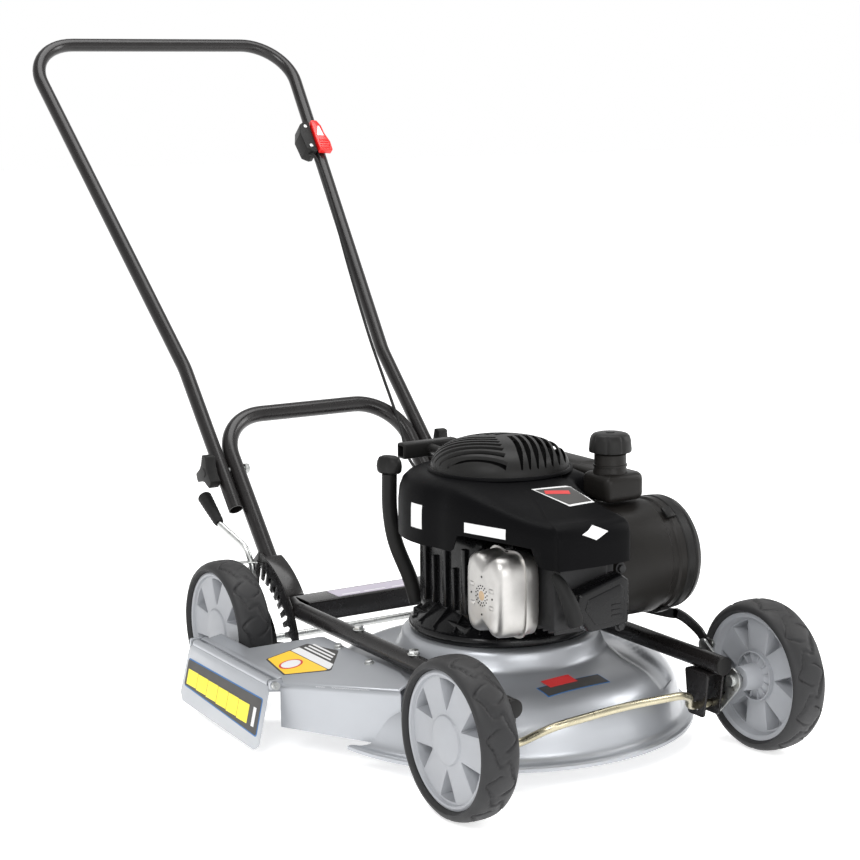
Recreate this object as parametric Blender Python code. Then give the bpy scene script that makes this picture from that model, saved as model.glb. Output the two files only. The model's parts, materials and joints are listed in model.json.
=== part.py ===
"""Petrol push lawn mower with a pressed steel deck, side discharge and a folding tube handle.

Metres, +Z up. The mower faces -Y; +X is the operator's left, -X the right (chute) side.
Everything is modelled about the middle of the front wheels' axle line, and the last step
moves the whole assembly so that the origin is the middle of its footprint, on the ground.
"""

import math

import bmesh
import bpy
from mathutils import Matrix, Vector

# ---------------------------------------------------------------- driving dimensions
RIGHT, LEFT = -1, 1
GAP = 0.0003

RAKE = math.atan2(0.0091, 0.629)
TYRE_RADIUS = 0.100
TYRE_WIDTH = 0.045
RIM_RADIUS = 0.085
WHEELBASE = 0.629
WHEEL_OUTER_X = 0.2595
WHEEL_INNER_X = WHEEL_OUTER_X - TYRE_WIDTH

RAIL_X = 0.164
RAIL_Z = 0.025
RAIL_RADIUS = 0.0125
RAIL_FRONT_Y = -0.008
TUBE_WALL = 0.0015
HANDLE_RADIUS = 0.011
LEG_ANGLE = math.radians(46.6)
LEG_FOOT_Y = 0.584
LOOP_TOP_Z = 0.269
LOOP_HALF_WIDTH = 0.1560
HANDLE_TOP_Y = 1.343
HANDLE_TOP_Z = 0.845
HANDLE_TOP_HALF = 0.2477
HANDLE_BEND_Y = 0.882
HANDLE_END_Y = 0.7010
KNOB_FROM_END = 0.070
JOINT_GAP = 0.0010
KNOB_RADIUS = 0.0272
RAIL_BOLT_Y = (0.224, 0.369)
BLADE_PIVOT = 0.142

DECK_Y = 0.266
DECK_RIM_RADIUS = 0.2632
DECK_RIM_Z = -0.0765
SHEET = 0.0025
PAD_Z = 0.043

PIVOT_OFFSET = (0.030, -0.036)
FRONT_WHEEL = (0.0, 0.0)
REAR_WHEEL = (WHEELBASE, -0.0091)
ARM_X = 0.184
ARM_SHEET = 0.004
AXLE_ROD_RADIUS = 0.005
LINK_LUG = (0.029, 0.070)
QUADRANT_X = RAIL_X + RAIL_RADIUS + GAP
QUADRANT_SHEET = 0.003

CHUTE_TOP_Z = 0.0125
CHUTE_SLOPE = 0.17
CHUTE_FLOOR_Z = -0.068
CHUTE_MOUTH_X = -0.302
FLAP_PIN = (-0.3095, -0.0100)
FLAP_PIN_Y = (0.352, 0.582)
FLAP_TILT = math.radians(13)

ENGINE_AXIS = Vector((0.0, DECK_Y, 0.0))


# ---------------------------------------------------------------- materials
def material(name, colour, roughness, metallic=0.0):
    made = bpy.data.materials.new(name)
    made.use_nodes = True
    shader = made.node_tree.nodes["Principled BSDF"]
    shader.inputs["Base Color"].default_value = (*colour, 1.0)
    shader.inputs["Roughness"].default_value = roughness
    shader.inputs["Metallic"].default_value = metallic
    return made


def make_materials():
    return {
        "silver_paint": material("silver_paint", (0.36, 0.38, 0.40), 0.35, 0.6),
        "black_tube": material("black_tube", (0.02, 0.02, 0.02), 0.35),
        "gloss_black": material("gloss_black", (0.01, 0.01, 0.01), 0.2),
        "satin_black": material("satin_black", (0.018, 0.018, 0.018), 0.5),
        "tank_plastic": material("tank_plastic", (0.03, 0.028, 0.025), 0.5),
        "rim_plastic": material("rim_plastic", (0.22, 0.23, 0.25), 0.45),
        "rubber": material("rubber", (0.02, 0.02, 0.02), 0.75),
        "zinc": material("zinc", (0.6, 0.58, 0.5), 0.35, 1.0),
        "aluminium": material("aluminium", (0.6, 0.6, 0.58), 0.4, 1.0),
        "red_plastic": material("red_plastic", (0.75, 0.02, 0.01), 0.4),
        "filter_foam": material("filter_foam", (0.5, 0.45, 0.25), 0.9),
        "blade_steel": material("blade_steel", (0.35, 0.35, 0.36), 0.4, 1.0),
    }


MATERIALS = {}
ROOT_OBJECTS = []


# ---------------------------------------------------------------- mesh helpers
def new_object(name, bm, slot=None, helper=False, smooth_below=40):
    """An object from a bmesh; a helper only shapes another object and isn't a node."""
    bmesh.ops.triangulate(bm, faces=[face for face in bm.faces if len(face.verts) > 4])
    bmesh.ops.recalc_face_normals(bm, faces=bm.faces)
    mesh = bpy.data.meshes.new(name)
    bm.to_mesh(mesh)
    bm.free()
    mesh.shade_smooth()
    mesh.set_sharp_from_angle(angle=math.radians(smooth_below))
    made = bpy.data.objects.new(name, mesh)
    bpy.context.scene.collection.objects.link(made)
    if helper:
        made.hide_render = True
        made.display_type = "WIRE"
    else:
        mesh.materials.append(MATERIALS[slot])
    ROOT_OBJECTS.append(made)
    return made


def combine(target, tool, operation="UNION"):
    """Joins or cuts the target with a helper object by a Boolean modifier."""
    modifier = target.modifiers.new(tool.name, "BOOLEAN")
    modifier.operation = operation
    modifier.object = tool
    return target


def cut(target, tool):
    return combine(target, tool, "DIFFERENCE")


def rounded(target, width, segments=1, angle=40):
    bevel = target.modifiers.new("edges", "BEVEL")
    bevel.width = width
    bevel.segments = segments
    bevel.limit_method = "ANGLE"
    bevel.angle_limit = math.radians(angle)
    return target


def ring_faces(bm, rings, close_ends=True, closed_path=False):
    """Faces between rings of vertices that follow one another, with a cap at each end."""
    count = len(rings)
    for index in range(count if closed_path else count - 1):
        first, second = rings[index], rings[(index + 1) % count]
        size = len(first)
        for k in range(size):
            bm.faces.new((first[k], first[(k + 1) % size], second[(k + 1) % size], second[k]))
    if close_ends and not closed_path:
        bm.faces.new(rings[0])
        bm.faces.new(rings[-1])


def frame_along(points):
    """A stable pair of side vectors at each point of a route."""
    frames = []
    side = None
    for index, point in enumerate(points):
        before = points[max(index - 1, 0)]
        after = points[min(index + 1, len(points) - 1)]
        tangent = (after - before).normalized()
        if side is None:
            guess = Vector((0, 0, 1)) if abs(tangent.z) < 0.9 else Vector((1, 0, 0))
            side = tangent.cross(guess).normalized()
        side = (side - tangent * side.dot(tangent)).normalized()
        frames.append((side.copy(), tangent.cross(side)))
    return frames


def circle_ring(bm, point, frame, radius, sides):
    side, up = frame
    angles = [2 * math.pi * k / sides for k in range(sides)]
    return [bm.verts.new(point + side * math.cos(a) * radius + up * math.sin(a) * radius) for a in angles]


def rod_mesh(points, radius, sides=8, radii=None):
    """A solid round bar along a route; radii gives one radius for each point."""
    points = [Vector(p) for p in points]
    bm = bmesh.new()
    frames = frame_along(points)
    sizes = radii or [radius] * len(points)
    rings = [circle_ring(bm, p, f, r, sides) for p, f, r in zip(points, frames, sizes)]
    ring_faces(bm, rings)
    return bm


def tube_mesh(points, radius, wall, sides=10):
    """An open-ended round tube along a route."""
    points = [Vector(p) for p in points]
    bm = bmesh.new()
    frames = frame_along(points)
    outer = [circle_ring(bm, p, f, radius, sides) for p, f in zip(points, frames)]
    inner = [circle_ring(bm, p, f, radius - wall, sides) for p, f in zip(points, frames)]
    ring_faces(bm, outer, close_ends=False)
    ring_faces(bm, inner, close_ends=False)
    for end in (0, -1):
        for k in range(sides):
            after = (k + 1) % sides
            bm.faces.new((outer[end][k], outer[end][after], inner[end][after], inner[end][k]))
    return bm


def fillet(corner, before, after, radius, steps):
    """Points of the arc that rounds one corner of a route."""
    corner, before, after = Vector(corner), Vector(before), Vector(after)
    to_before = (before - corner).normalized()
    to_after = (after - corner).normalized()
    half = to_before.angle(to_after) / 2
    reach = radius / math.tan(half)
    start, end = corner + to_before * reach, corner + to_after * reach
    centre = corner + (to_before + to_after).normalized() * (radius / math.sin(half))
    first, last = start - centre, end - centre
    turn = first.angle(last)
    points = []
    for k in range(steps + 1):
        share = k / steps
        weight_first = math.sin((1 - share) * turn) / math.sin(turn)
        weight_last = math.sin(share * turn) / math.sin(turn)
        points.append(centre + first * weight_first + last * weight_last)
    return points


def route(corners, radii, steps=4):
    """A route through its corners, each inner corner rounded by its radius."""
    points = [Vector(corners[0])]
    for index in range(1, len(corners) - 1):
        radius = radii[index - 1]
        points += fillet(corners[index], corners[index - 1], corners[index + 1], radius, steps)
    points.append(Vector(corners[-1]))
    return points


def cylinder_mesh(start, end, radius, sides=16, end_radius=None):
    return rod_mesh([start, end], radius, sides, [radius, radius if end_radius is None else end_radius])


def turned_mesh(profile, centre=(0, 0, 0), axis="Z", steps=32):
    """A closed (radius, height) profile turned about an axis; radius 0 lies on the axis."""
    bm = bmesh.new()
    centre = Vector(centre)
    turn_axis = {"X": Vector((1, 0, 0)), "Y": Vector((0, 1, 0)), "Z": Vector((0, 0, 1))}[axis]
    across = Vector((0, 0, -1)) if axis == "X" else Vector((1, 0, 0))
    columns = []
    for step in range(steps):
        spin = Matrix.Rotation(2 * math.pi * step / steps, 3, turn_axis)
        columns.append([spin @ (across * r) + turn_axis * h + centre for r, h in profile])
    on_axis = {i: bm.verts.new(columns[0][i]) for i, (r, _) in enumerate(profile) if r == 0}
    verts = [[on_axis.get(i) or bm.verts.new(p) for i, p in enumerate(col)] for col in columns]
    size = len(profile)
    for step in range(steps):
        first, second = verts[step], verts[(step + 1) % steps]
        for k in range(size):
            after = (k + 1) % size
            corners = [first[k], second[k], second[after], first[after]]
            loop = list(dict.fromkeys(corners))
            if len(loop) >= 3:
                bm.faces.new(loop)
    return bm


def prism_mesh(outline, low, high, plane="XY"):
    """An outline extruded between two heights, along Z for XY or along X for YZ."""
    bm = bmesh.new()
    lift = {"XY": lambda p, h: (p[0], p[1], h), "YZ": lambda p, h: (h, p[0], p[1])}[plane]
    rings = [[bm.verts.new(lift(p, h)) for p in outline] for h in (low, high)]
    ring_faces(bm, rings)
    return bm


def box_mesh(low, high):
    return prism_mesh([(low[0], low[1]), (high[0], low[1]), (high[0], high[1]), (low[0], high[1])], low[2],
                      high[2])


def arc(centre, radius, start, end, steps):
    """Points on an arc in a plane, angles in degrees."""
    angles = [math.radians(start + (end - start) * k / steps) for k in range(steps + 1)]
    return [(centre[0] + radius * math.cos(a), centre[1] + radius * math.sin(a)) for a in angles]


def helper_box(name, low, high):
    return new_object(name, box_mesh(low, high), helper=True)


def helper_rod(name, start, end, radius, sides=12):
    return new_object(name, cylinder_mesh(start, end, radius, sides), helper=True)


# ---------------------------------------------------------------- places that parts share
def leg_point(along, side, offset=0.0):
    """A point on the lower loop's leg, measured from its foot, moved sideways by offset."""
    leg_length = (LOOP_TOP_Z - RAIL_Z) / math.sin(LEG_ANGLE)
    taper = (RAIL_X - LOOP_HALF_WIDTH) / leg_length
    x = RAIL_X - taper * along + offset
    return Vector((side * x, LEG_FOOT_Y + along * math.cos(LEG_ANGLE), RAIL_Z + along * math.sin(LEG_ANGLE)))


SIDE_OFFSET = RAIL_RADIUS + HANDLE_RADIUS + JOINT_GAP
HANDLE_END_ALONG = (HANDLE_END_Y - LEG_FOOT_Y) / math.cos(LEG_ANGLE)
HANDLE_BEND_ALONG = (HANDLE_BEND_Y - LEG_FOOT_Y) / math.cos(LEG_ANGLE)
KNOB_ALONG = HANDLE_END_ALONG + KNOB_FROM_END
LOOP_ALONG = (LOOP_TOP_Z - RAIL_Z) / math.sin(LEG_ANGLE)


def pivot(wheel):
    """(y, z) of the axle rod that carries the wheels whose centre is at wheel."""
    return wheel[0] + PIVOT_OFFSET[0], wheel[1] + PIVOT_OFFSET[1]


# ---------------------------------------------------------------- chassis and handle
def make_chassis_tube():
    corners = [Vector((-RAIL_X, RAIL_FRONT_Y, RAIL_Z)), leg_point(0, RIGHT), leg_point(LOOP_ALONG, RIGHT)]
    corners += [leg_point(LOOP_ALONG, LEFT), leg_point(0, LEFT), Vector((RAIL_X, RAIL_FRONT_Y, RAIL_Z))]
    points = route(corners, [0.09, 0.075, 0.075, 0.09], 4)
    tube = new_object("chassis_tube", tube_mesh(points, RAIL_RADIUS, TUBE_WALL), "black_tube")
    for side, name in ((RIGHT, "right"), (LEFT, "left")):
        at = leg_point(KNOB_ALONG, side)
        hole = helper_rod(f"cut_loop_{name}", at - Vector((0.03, 0, 0)), at + Vector((0.03, 0, 0)), 0.0044, 8)
        cut(tube, hole)
        for y in RAIL_BOLT_Y:
            cut(tube, helper_rod(f"cut_rail_{name}_{y}", (side * RAIL_X, y, 0.0), (side * RAIL_X, y, 0.05),
                                 0.0036, 8))
        plug = cylinder_mesh((side * RAIL_X, RAIL_FRONT_Y - 0.004, RAIL_Z),
                             (side * RAIL_X, RAIL_FRONT_Y - GAP, RAIL_Z), RAIL_RADIUS, 12)
        cap = new_object(f"tube_plug_{name}", plug, "satin_black")
        spigot = helper_rod(f"spigot_{name}", (side * RAIL_X, RAIL_FRONT_Y - 0.002, RAIL_Z),
                            (side * RAIL_X, RAIL_FRONT_Y + 0.012, RAIL_Z), 0.0100, 12)
        combine(cap, spigot)


def make_upper_handle():
    corners = []
    for side in (RIGHT, LEFT):
        leg = [leg_point(HANDLE_END_ALONG, side, SIDE_OFFSET),
               leg_point(HANDLE_BEND_ALONG, side, SIDE_OFFSET)]
        leg.append(Vector((side * HANDLE_TOP_HALF, HANDLE_TOP_Y, HANDLE_TOP_Z)))
        corners += leg if side == RIGHT else leg[::-1]
    points = route(corners, [0.15, 0.08, 0.08, 0.15], 4)
    handle = new_object("upper_handle", tube_mesh(points, HANDLE_RADIUS, TUBE_WALL), "black_tube")
    for side, name in ((RIGHT, "right"), (LEFT, "left")):
        at = leg_point(KNOB_ALONG, side, SIDE_OFFSET)
        hole = helper_rod(f"cut_handle_{name}", at - Vector((0.03, 0, 0)), at + Vector((0.03, 0, 0)),
                          0.0044, 8)
        cut(handle, hole)
        make_knob(side, name)


def make_knob(side, name):
    """The three-lobed wing knob, and the bolt that it is turned on."""
    at = leg_point(KNOB_ALONG, side)
    inner_x = abs(at.x) - RAIL_RADIUS
    outer_x = abs(at.x) + SIDE_OFFSET + HANDLE_RADIUS
    bolt = new_object(f"handle_bolt_{name}",
                      cylinder_mesh((side * (inner_x - 0.006), at.y, at.z),
                                    (side * (outer_x + 0.014), at.y, at.z),
                                    0.0040, 8), "zinc")
    head = helper_rod(f"bolt_head_{name}", (side * (inner_x - 0.007), at.y, at.z),
                      (side * (inner_x - GAP), at.y, at.z), 0.0078, 6)
    combine(bolt, head)
    lobes = []
    for lobe in range(3):
        lobes += arc((0, 0), KNOB_RADIUS, lobe * 120 - 16, lobe * 120 + 16, 2)
        lobes += arc((0, 0), 0.0135, lobe * 120 + 50, lobe * 120 + 70, 1)
    turn = math.radians(-25)
    outline = [(at.y + u * math.cos(turn) - v * math.sin(turn),
                at.z + u * math.sin(turn) + v * math.cos(turn))
               for u, v in lobes]
    near, far = outer_x + 0.002, outer_x + 0.0205
    knob = new_object(f"handle_knob_{name}", prism_mesh(outline, side * near, side * far, "YZ"),
                      "satin_black")
    combine(knob, helper_rod(f"knob_neck_{name}", (side * (outer_x + GAP), at.y, at.z),
                             (side * (near + 0.004), at.y, at.z), 0.0105, 12))
    cut(knob, helper_rod(f"knob_bore_{name}", (side * (outer_x - 0.01), at.y, at.z),
                         (side * (outer_x + 0.0145), at.y, at.z), 0.0044, 8))


def make_throttle():
    """The throttle box on the left leg, its lever, and the cable down to the carburettor."""
    bend = leg_point(HANDLE_BEND_ALONG, LEFT, SIDE_OFFSET)
    top = Vector((HANDLE_TOP_HALF, HANDLE_TOP_Y, HANDLE_TOP_Z))
    along = (top - bend).normalized()
    across = Vector((1, 0, 0))
    across = (across - along * across.dot(along)).normalized()
    lift = across.cross(along)
    centre = bend + along * 0.452
    place = Matrix((across, along, lift)).transposed().to_4x4()
    place.translation = centre

    def put(bm):
        bmesh.ops.transform(bm, matrix=place, verts=bm.verts)
        return bm

    shell = [(-0.032, -0.030), (-0.036, 0.004), (-0.030, 0.026), (-0.020, 0.034), (-0.0118, 0.034),
             (-0.0118, -0.034),
             (-0.020, -0.036)]
    housing = new_object("throttle_housing", put(prism_mesh(shell, -0.010, 0.020)), "satin_black")
    rounded(housing, 0.002)
    lever = [(-0.010, 0.033), (0.002, 0.034), (0.008, 0.022), (0.010, 0.004), (0.016, -0.014),
             (0.016, -0.034),
             (-0.008, -0.034), (-0.010, -0.010)]
    red = new_object("throttle_lever", put(prism_mesh(lever, 0.0118, 0.024)), "red_plastic")
    rounded(red, 0.0015)


def cable_points():
    """The throttle cable's route, from the throttle box to the carburettor."""
    knob = leg_point(KNOB_ALONG, LEFT)
    return [Vector(p) for p in (
        (0.196, 1.128, 0.644), (0.187, 1.060, 0.565), (0.172, 0.980, 0.470), (0.156, 0.890, 0.370),
        (0.148, 0.830, 0.306), (0.136, 0.760, 0.240), (knob.x - 0.042, 0.700, 0.196),
        (0.104, 0.620, 0.170), (0.095, 0.540, 0.158), (0.088, 0.470, 0.146), (0.086, 0.400, 0.134),
        (0.086, 0.300, 0.126), (0.086, 0.200, 0.126), (0.086, 0.1325, 0.126))]


def smooth_route(points, per_span=4):
    """Points read from a smooth curve through the route's own points."""
    ends = [points[0] * 2 - points[1], *points, points[-1] * 2 - points[-2]]
    result = []
    for index in range(1, len(ends) - 2):
        a, b, c, d = ends[index - 1:index + 3]
        for step in range(per_span):
            t = step / per_span
            result.append(0.5 * (2 * b + (c - a) * t + (2 * a - 5 * b + 4 * c - d) * t * t
                                 + (3 * b - a - 3 * c + d) * t * t * t))
    return [*result, points[-1]]


def make_throttle_cable():
    curve = bpy.data.curves.new("throttle_cable", "CURVE")
    curve.dimensions = "3D"
    curve.bevel_depth = 0.0024
    curve.bevel_resolution = 1
    curve.use_fill_caps = True
    points = smooth_route(cable_points(), 3)
    spline = curve.splines.new("POLY")
    spline.points.add(len(points) - 1)
    for slot, point in zip(spline.points, points):
        slot.co = (*point, 1.0)
    curve.materials.append(MATERIALS["rubber"])
    cable = bpy.data.objects.new("throttle_cable", curve)
    bpy.context.scene.collection.objects.link(cable)
    ROOT_OBJECTS.append(cable)


def make_cross_member():
    half = RAIL_X - RAIL_RADIUS - GAP
    member = new_object("rear_cross_member", box_mesh((-half, 0.535, 0.006), (half, 0.585, 0.037)),
                        "black_tube")
    rounded(member, 0.003)
    bore = helper_box("cross_member_bore", (-half - 0.01, 0.538, 0.009), (half + 0.01, 0.582, 0.034))
    cut(member, bore)


def make_axle_plates():
    """Plates that carry the axle rods: the notched one is the height selector."""
    rear_y, rear_z = pivot(REAR_WHEEL)
    outer, inner = QUADRANT_X + QUADRANT_SHEET, QUADRANT_X
    blade = [(rear_y - 0.016, rear_z - 0.016), (rear_y - 0.139, rear_z + 0.020)]
    blade += arc((rear_y, rear_z), 0.142, 168, 98, 8)
    blade += [(rear_y + 0.016, rear_z + 0.110), (rear_y + 0.016, rear_z - 0.016)]
    for side, name in ((RIGHT, "height_quadrant"), (LEFT, "rear_axle_plate_left")):
        plate = new_object(name, prism_mesh(blade, side * inner, side * outer, "YZ"), "black_tube")
        cut(plate, helper_rod(f"cut_{name}", (side * (inner - 0.01), rear_y, rear_z),
                              (side * (outer + 0.01), rear_y, rear_z), AXLE_ROD_RADIUS + 0.0006))
        if side == RIGHT:
            for notch in range(9):
                angle = math.radians(102 + notch * 8)
                y, z = rear_y + 0.118 * math.cos(angle), rear_z + 0.118 * math.sin(angle)
                cut(plate, helper_rod(f"notch_{notch}", (side * (inner - 0.01), y, z),
                                      (side * (outer + 0.01), y, z), 0.0052, 8))
    front_y, front_z = pivot(FRONT_WHEEL)
    for side, name in ((RIGHT, "right"), (LEFT, "left")):
        top = RAIL_Z - RAIL_RADIUS - GAP
        hanger = new_object(f"axle_hanger_{name}",
                            box_mesh((min(side * 0.150, side * 0.178), front_y - 0.022, front_z - 0.013),
                                     (max(side * 0.150, side * 0.178), front_y + 0.022, top)), "black_tube")
        cut(hanger, helper_box(f"hanger_gap_{name}", (min(side * 0.153, side * 0.175), front_y - 0.03,
                                                      front_z - 0.03),
                               (max(side * 0.153, side * 0.175), front_y + 0.03, top - 0.003)))
        cut(hanger, helper_rod(f"hanger_hole_{name}", (side * 0.14, front_y, front_z),
                               (side * 0.19, front_y, front_z),
                               AXLE_ROD_RADIUS + 0.0006))


# ---------------------------------------------------------------- wheels and height adjustment
def make_wheels():
    hub_inner = ARM_X + ARM_SHEET + 0.010
    for wheel, end in ((FRONT_WHEEL, "front"), (REAR_WHEEL, "rear")):
        for side, name in ((RIGHT, "right"), (LEFT, "left")):
            centre = (0, *wheel)

            def across(x, side=side):
                return side * x

            tyre = [(RIM_RADIUS + GAP, across(WHEEL_INNER_X + 0.004)), (0.092, across(WHEEL_INNER_X)),
                    (0.097, across(WHEEL_INNER_X + 0.004)), (TYRE_RADIUS, across(WHEEL_INNER_X + 0.012)),
                    (TYRE_RADIUS, across(WHEEL_OUTER_X - 0.012)), (0.097, across(WHEEL_OUTER_X - 0.004)),
                    (0.092, across(WHEEL_OUTER_X)), (RIM_RADIUS + GAP, across(WHEEL_OUTER_X - 0.004))]
            new_object(f"tyre_{end}_{name}", turned_mesh(tyre, centre, "X", 36), "rubber")
            rim = [(0.0065, across(hub_inner)), (0.017, across(hub_inner)), (0.019, across(0.236)),
                   (0.077, across(0.241)), (0.080, across(WHEEL_INNER_X + 0.003)),
                   (RIM_RADIUS, across(WHEEL_INNER_X + 0.003)), (RIM_RADIUS, across(WHEEL_OUTER_X - 0.003)),
                   (0.080, across(WHEEL_OUTER_X - 0.003)), (0.077, across(0.250)), (0.030, across(0.252)),
                   (0.028, across(0.256)), (0.0, across(0.256)), (0.0, across(0.2515)),
                   (0.0065, across(0.2515))]
            new_object(f"rim_{end}_{name}", turned_mesh(rim, centre, "X", 36), "rim_plastic")


def arm_outline(wheel, lug):
    """The side plate from the pivot to the wheel, with the link's lug where it has one."""
    py, pz = pivot(wheel)
    away = math.degrees(math.atan2(-PIVOT_OFFSET[1], -PIVOT_OFFSET[0]))
    points = arc(wheel, 0.017, away - 80, away + 80, 4)
    points += arc((py, pz), 0.014, away + 100, away + 260 if not lug else away + 230, 4)
    if lug:
        ly, lz = py + LINK_LUG[0], pz + LINK_LUG[1]
        points += arc((ly, lz), 0.009, -10, 150, 3)
    return points


def make_axles():
    for wheel, name in ((FRONT_WHEEL, "front_axle"), (REAR_WHEEL, "rear_axle")):
        py, pz = pivot(wheel)
        end_x = ARM_X + ARM_SHEET
        if name == "front_axle":
            middle = [(-0.128, py, pz), (-0.095, py - 0.036, pz + 0.032), (0.0, py - 0.044, pz + 0.042),
                      (0.095, py - 0.036, pz + 0.032), (0.128, py, pz)]
            points = route([(-end_x, py, pz), *middle, (end_x, py, pz)], [0.03, 0.05, 0.30, 0.05, 0.03], 2)
        else:
            points = [(-end_x, py, pz), (end_x, py, pz)]
        axle = new_object(name, rod_mesh(points, AXLE_ROD_RADIUS, 8), "zinc")
        for side, word in ((RIGHT, "right"), (LEFT, "left")):
            lug = side == LEFT
            low, high = sorted((side * ARM_X, side * (ARM_X + ARM_SHEET)))
            plate = new_object(f"{name}_arm_{word}", prism_mesh(arm_outline(wheel, lug), low, high, "YZ"),
                               helper=True)
            combine(axle, plate)
            combine(axle, helper_rod(f"{name}_stub_{word}", (side * (ARM_X - 0.003), *wheel),
                                     (side * 0.248, *wheel), 0.006, 10))
            if lug:
                ly, lz = py + LINK_LUG[0], pz + LINK_LUG[1]
                combine(axle, helper_rod(f"{name}_lug_pin", (ARM_X + 0.001, ly, lz), (0.1985, ly, lz),
                                         0.004, 8))


def make_link_rod():
    front, rear = pivot(FRONT_WHEEL), pivot(REAR_WHEEL)
    start = (front[0] + LINK_LUG[0], front[1] + LINK_LUG[1])
    end = (rear[0] + LINK_LUG[0], rear[1] + LINK_LUG[1])
    spine = [start, (start[0] + 0.020, start[1] + 0.016), (start[0] + 0.062, start[1] + 0.028),
             (start[0] + 0.120, start[1] + 0.022), (end[0] - 0.060, end[1]), end]
    half = 0.0065
    upper, lower = [], []
    for index, point in enumerate(spine):
        before, after = spine[max(index - 1, 0)], spine[min(index + 1, len(spine) - 1)]
        direction = Vector((after[0] - before[0], after[1] - before[1])).normalized()
        normal = Vector((-direction.y, direction.x))
        upper.append((point[0] + normal.x * half, point[1] + normal.y * half))
        lower.append((point[0] - normal.x * half, point[1] - normal.y * half))
    outline = [(start[0] - 0.009, start[1] - 0.004), *lower[1:-1], (end[0] + 0.009, end[1] - half),
               (end[0] + 0.009, end[1] + half), *upper[::-1][1:-1], (start[0] - 0.009, start[1] + 0.006)]
    near = ARM_X + ARM_SHEET + 0.0015
    link = new_object("link_rod", prism_mesh(outline, near, near + 0.004, "YZ"), "black_tube")
    for index, (y, z) in enumerate((start, end)):
        cut(link, helper_rod(f"link_eye_{index}", (near - 0.01, y, z), (near + 0.01, y, z), 0.0046, 8))


def make_height_lever():
    y, z = pivot(REAR_WHEEL)
    x = ARM_X + ARM_SHEET + GAP + 0.0045
    points = route([(-x, y, z - 0.004), (-x, y - 0.008, z + 0.060), (-0.1875, y - 0.016, z + 0.118),
                    (-0.192, y - 0.004, z + 0.146), (-0.208, 0.7085, 0.1285), (-0.208, 0.7115, 0.1302)],
                   [0.03, 0.03, 0.03, 0.012], 2)
    new_object("height_lever", rod_mesh(points[:-1], 0.0045, 8), "zinc")
    grip = rod_mesh([(-0.208, 0.7125, 0.1308), (-0.208, 0.719, 0.135), (-0.208, 0.757, 0.159),
                     (-0.208, 0.7625, 0.1625)],
                    0.01, 10, [0.0080, 0.0090, 0.0108, 0.0096])
    new_object("lever_grip", grip, "rubber")


# ---------------------------------------------------------------- deck, chute and flap
def deck_profile():
    """Outer and inner line of the deck's pressed section, as (radius, height)."""
    outer = [(0.052, PAD_Z), (0.128, PAD_Z), (0.134, 0.036), (0.148, 0.0145), (0.165, 0.0095),
             (0.205, 0.0040),
             (0.226, -0.008), (0.239, -0.028), (0.246, -0.064), (DECK_RIM_RADIUS, -0.070)]
    inner = [(DECK_RIM_RADIUS, DECK_RIM_Z), (0.2435, -0.0665), (0.2365, -0.029), (0.224, -0.0105),
             (0.204, 0.0014), (0.165, 0.0069), (0.147, 0.0115), (0.132, 0.0335), (0.1265, PAD_Z - SHEET),
             (0.052, PAD_Z - SHEET)]
    return outer + inner


CHUTE_FRONT = (-0.212, 0.178)
CHUTE_CORNER = (CHUTE_MOUTH_X, 0.338)
CHUTE_BACK = (CHUTE_MOUTH_X, 0.592)
CHUTE_WHEEL_SIDE_X = -0.264
CHUTE_WHEEL_FRONT_Y = 0.500
CHUTE_ROOT = (-0.190, 0.458)
CHUTE_INNER_X = -0.1795


def make_deck():
    deck = new_object("mower_deck", turned_mesh(deck_profile(), (0, DECK_Y, 0), "Z", 48), "silver_paint")
    mouth = [(-0.196, 0.150), (-0.330, 0.320), (-0.330, 0.560), (-0.178, 0.4655)]
    cut(deck, new_object("cut_discharge", prism_mesh(mouth, -0.10, -0.006), helper=True))
    bracket = box_mesh((-0.240, 0.168, -0.0790), (-0.190, 0.192, -0.0745))
    combine(deck, new_object("skirt_bracket", bracket, helper=True))
    for side in (RIGHT, LEFT):
        for y in RAIL_BOLT_Y:
            cut(deck, helper_rod(f"cut_deck_bolt_{side}_{y}", (side * RAIL_X, y, -0.03),
                                 (side * RAIL_X, y, 0.02),
                                 0.0036, 8))
    return deck


def chute_top(x):
    """The height of the chute's flat top plate, which slopes down away from the rail."""
    return CHUTE_TOP_Z - CHUTE_SLOPE * (CHUTE_INNER_X - x)


def under_chute(outline, low, below):
    """A solid over an outline, whose top follows the chute's top plate from a distance below it."""
    bm = bmesh.new()
    rings = [[bm.verts.new((x, y, low)) for x, y in outline]]
    rings.append([bm.verts.new((x, y, chute_top(x) - below)) for x, y in outline])
    ring_faces(bm, rings)
    return bm


def beside(start, end, aside, before=0.0, after=0.0):
    """The two ends of a line beside start-end, to its left, made longer at each end."""
    start, end = Vector(start), Vector(end)
    along = (end - start).normalized()
    left = Vector((-along.y, along.x)) * aside
    return tuple(start + left - along * before), tuple(end + left + along * after)


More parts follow.
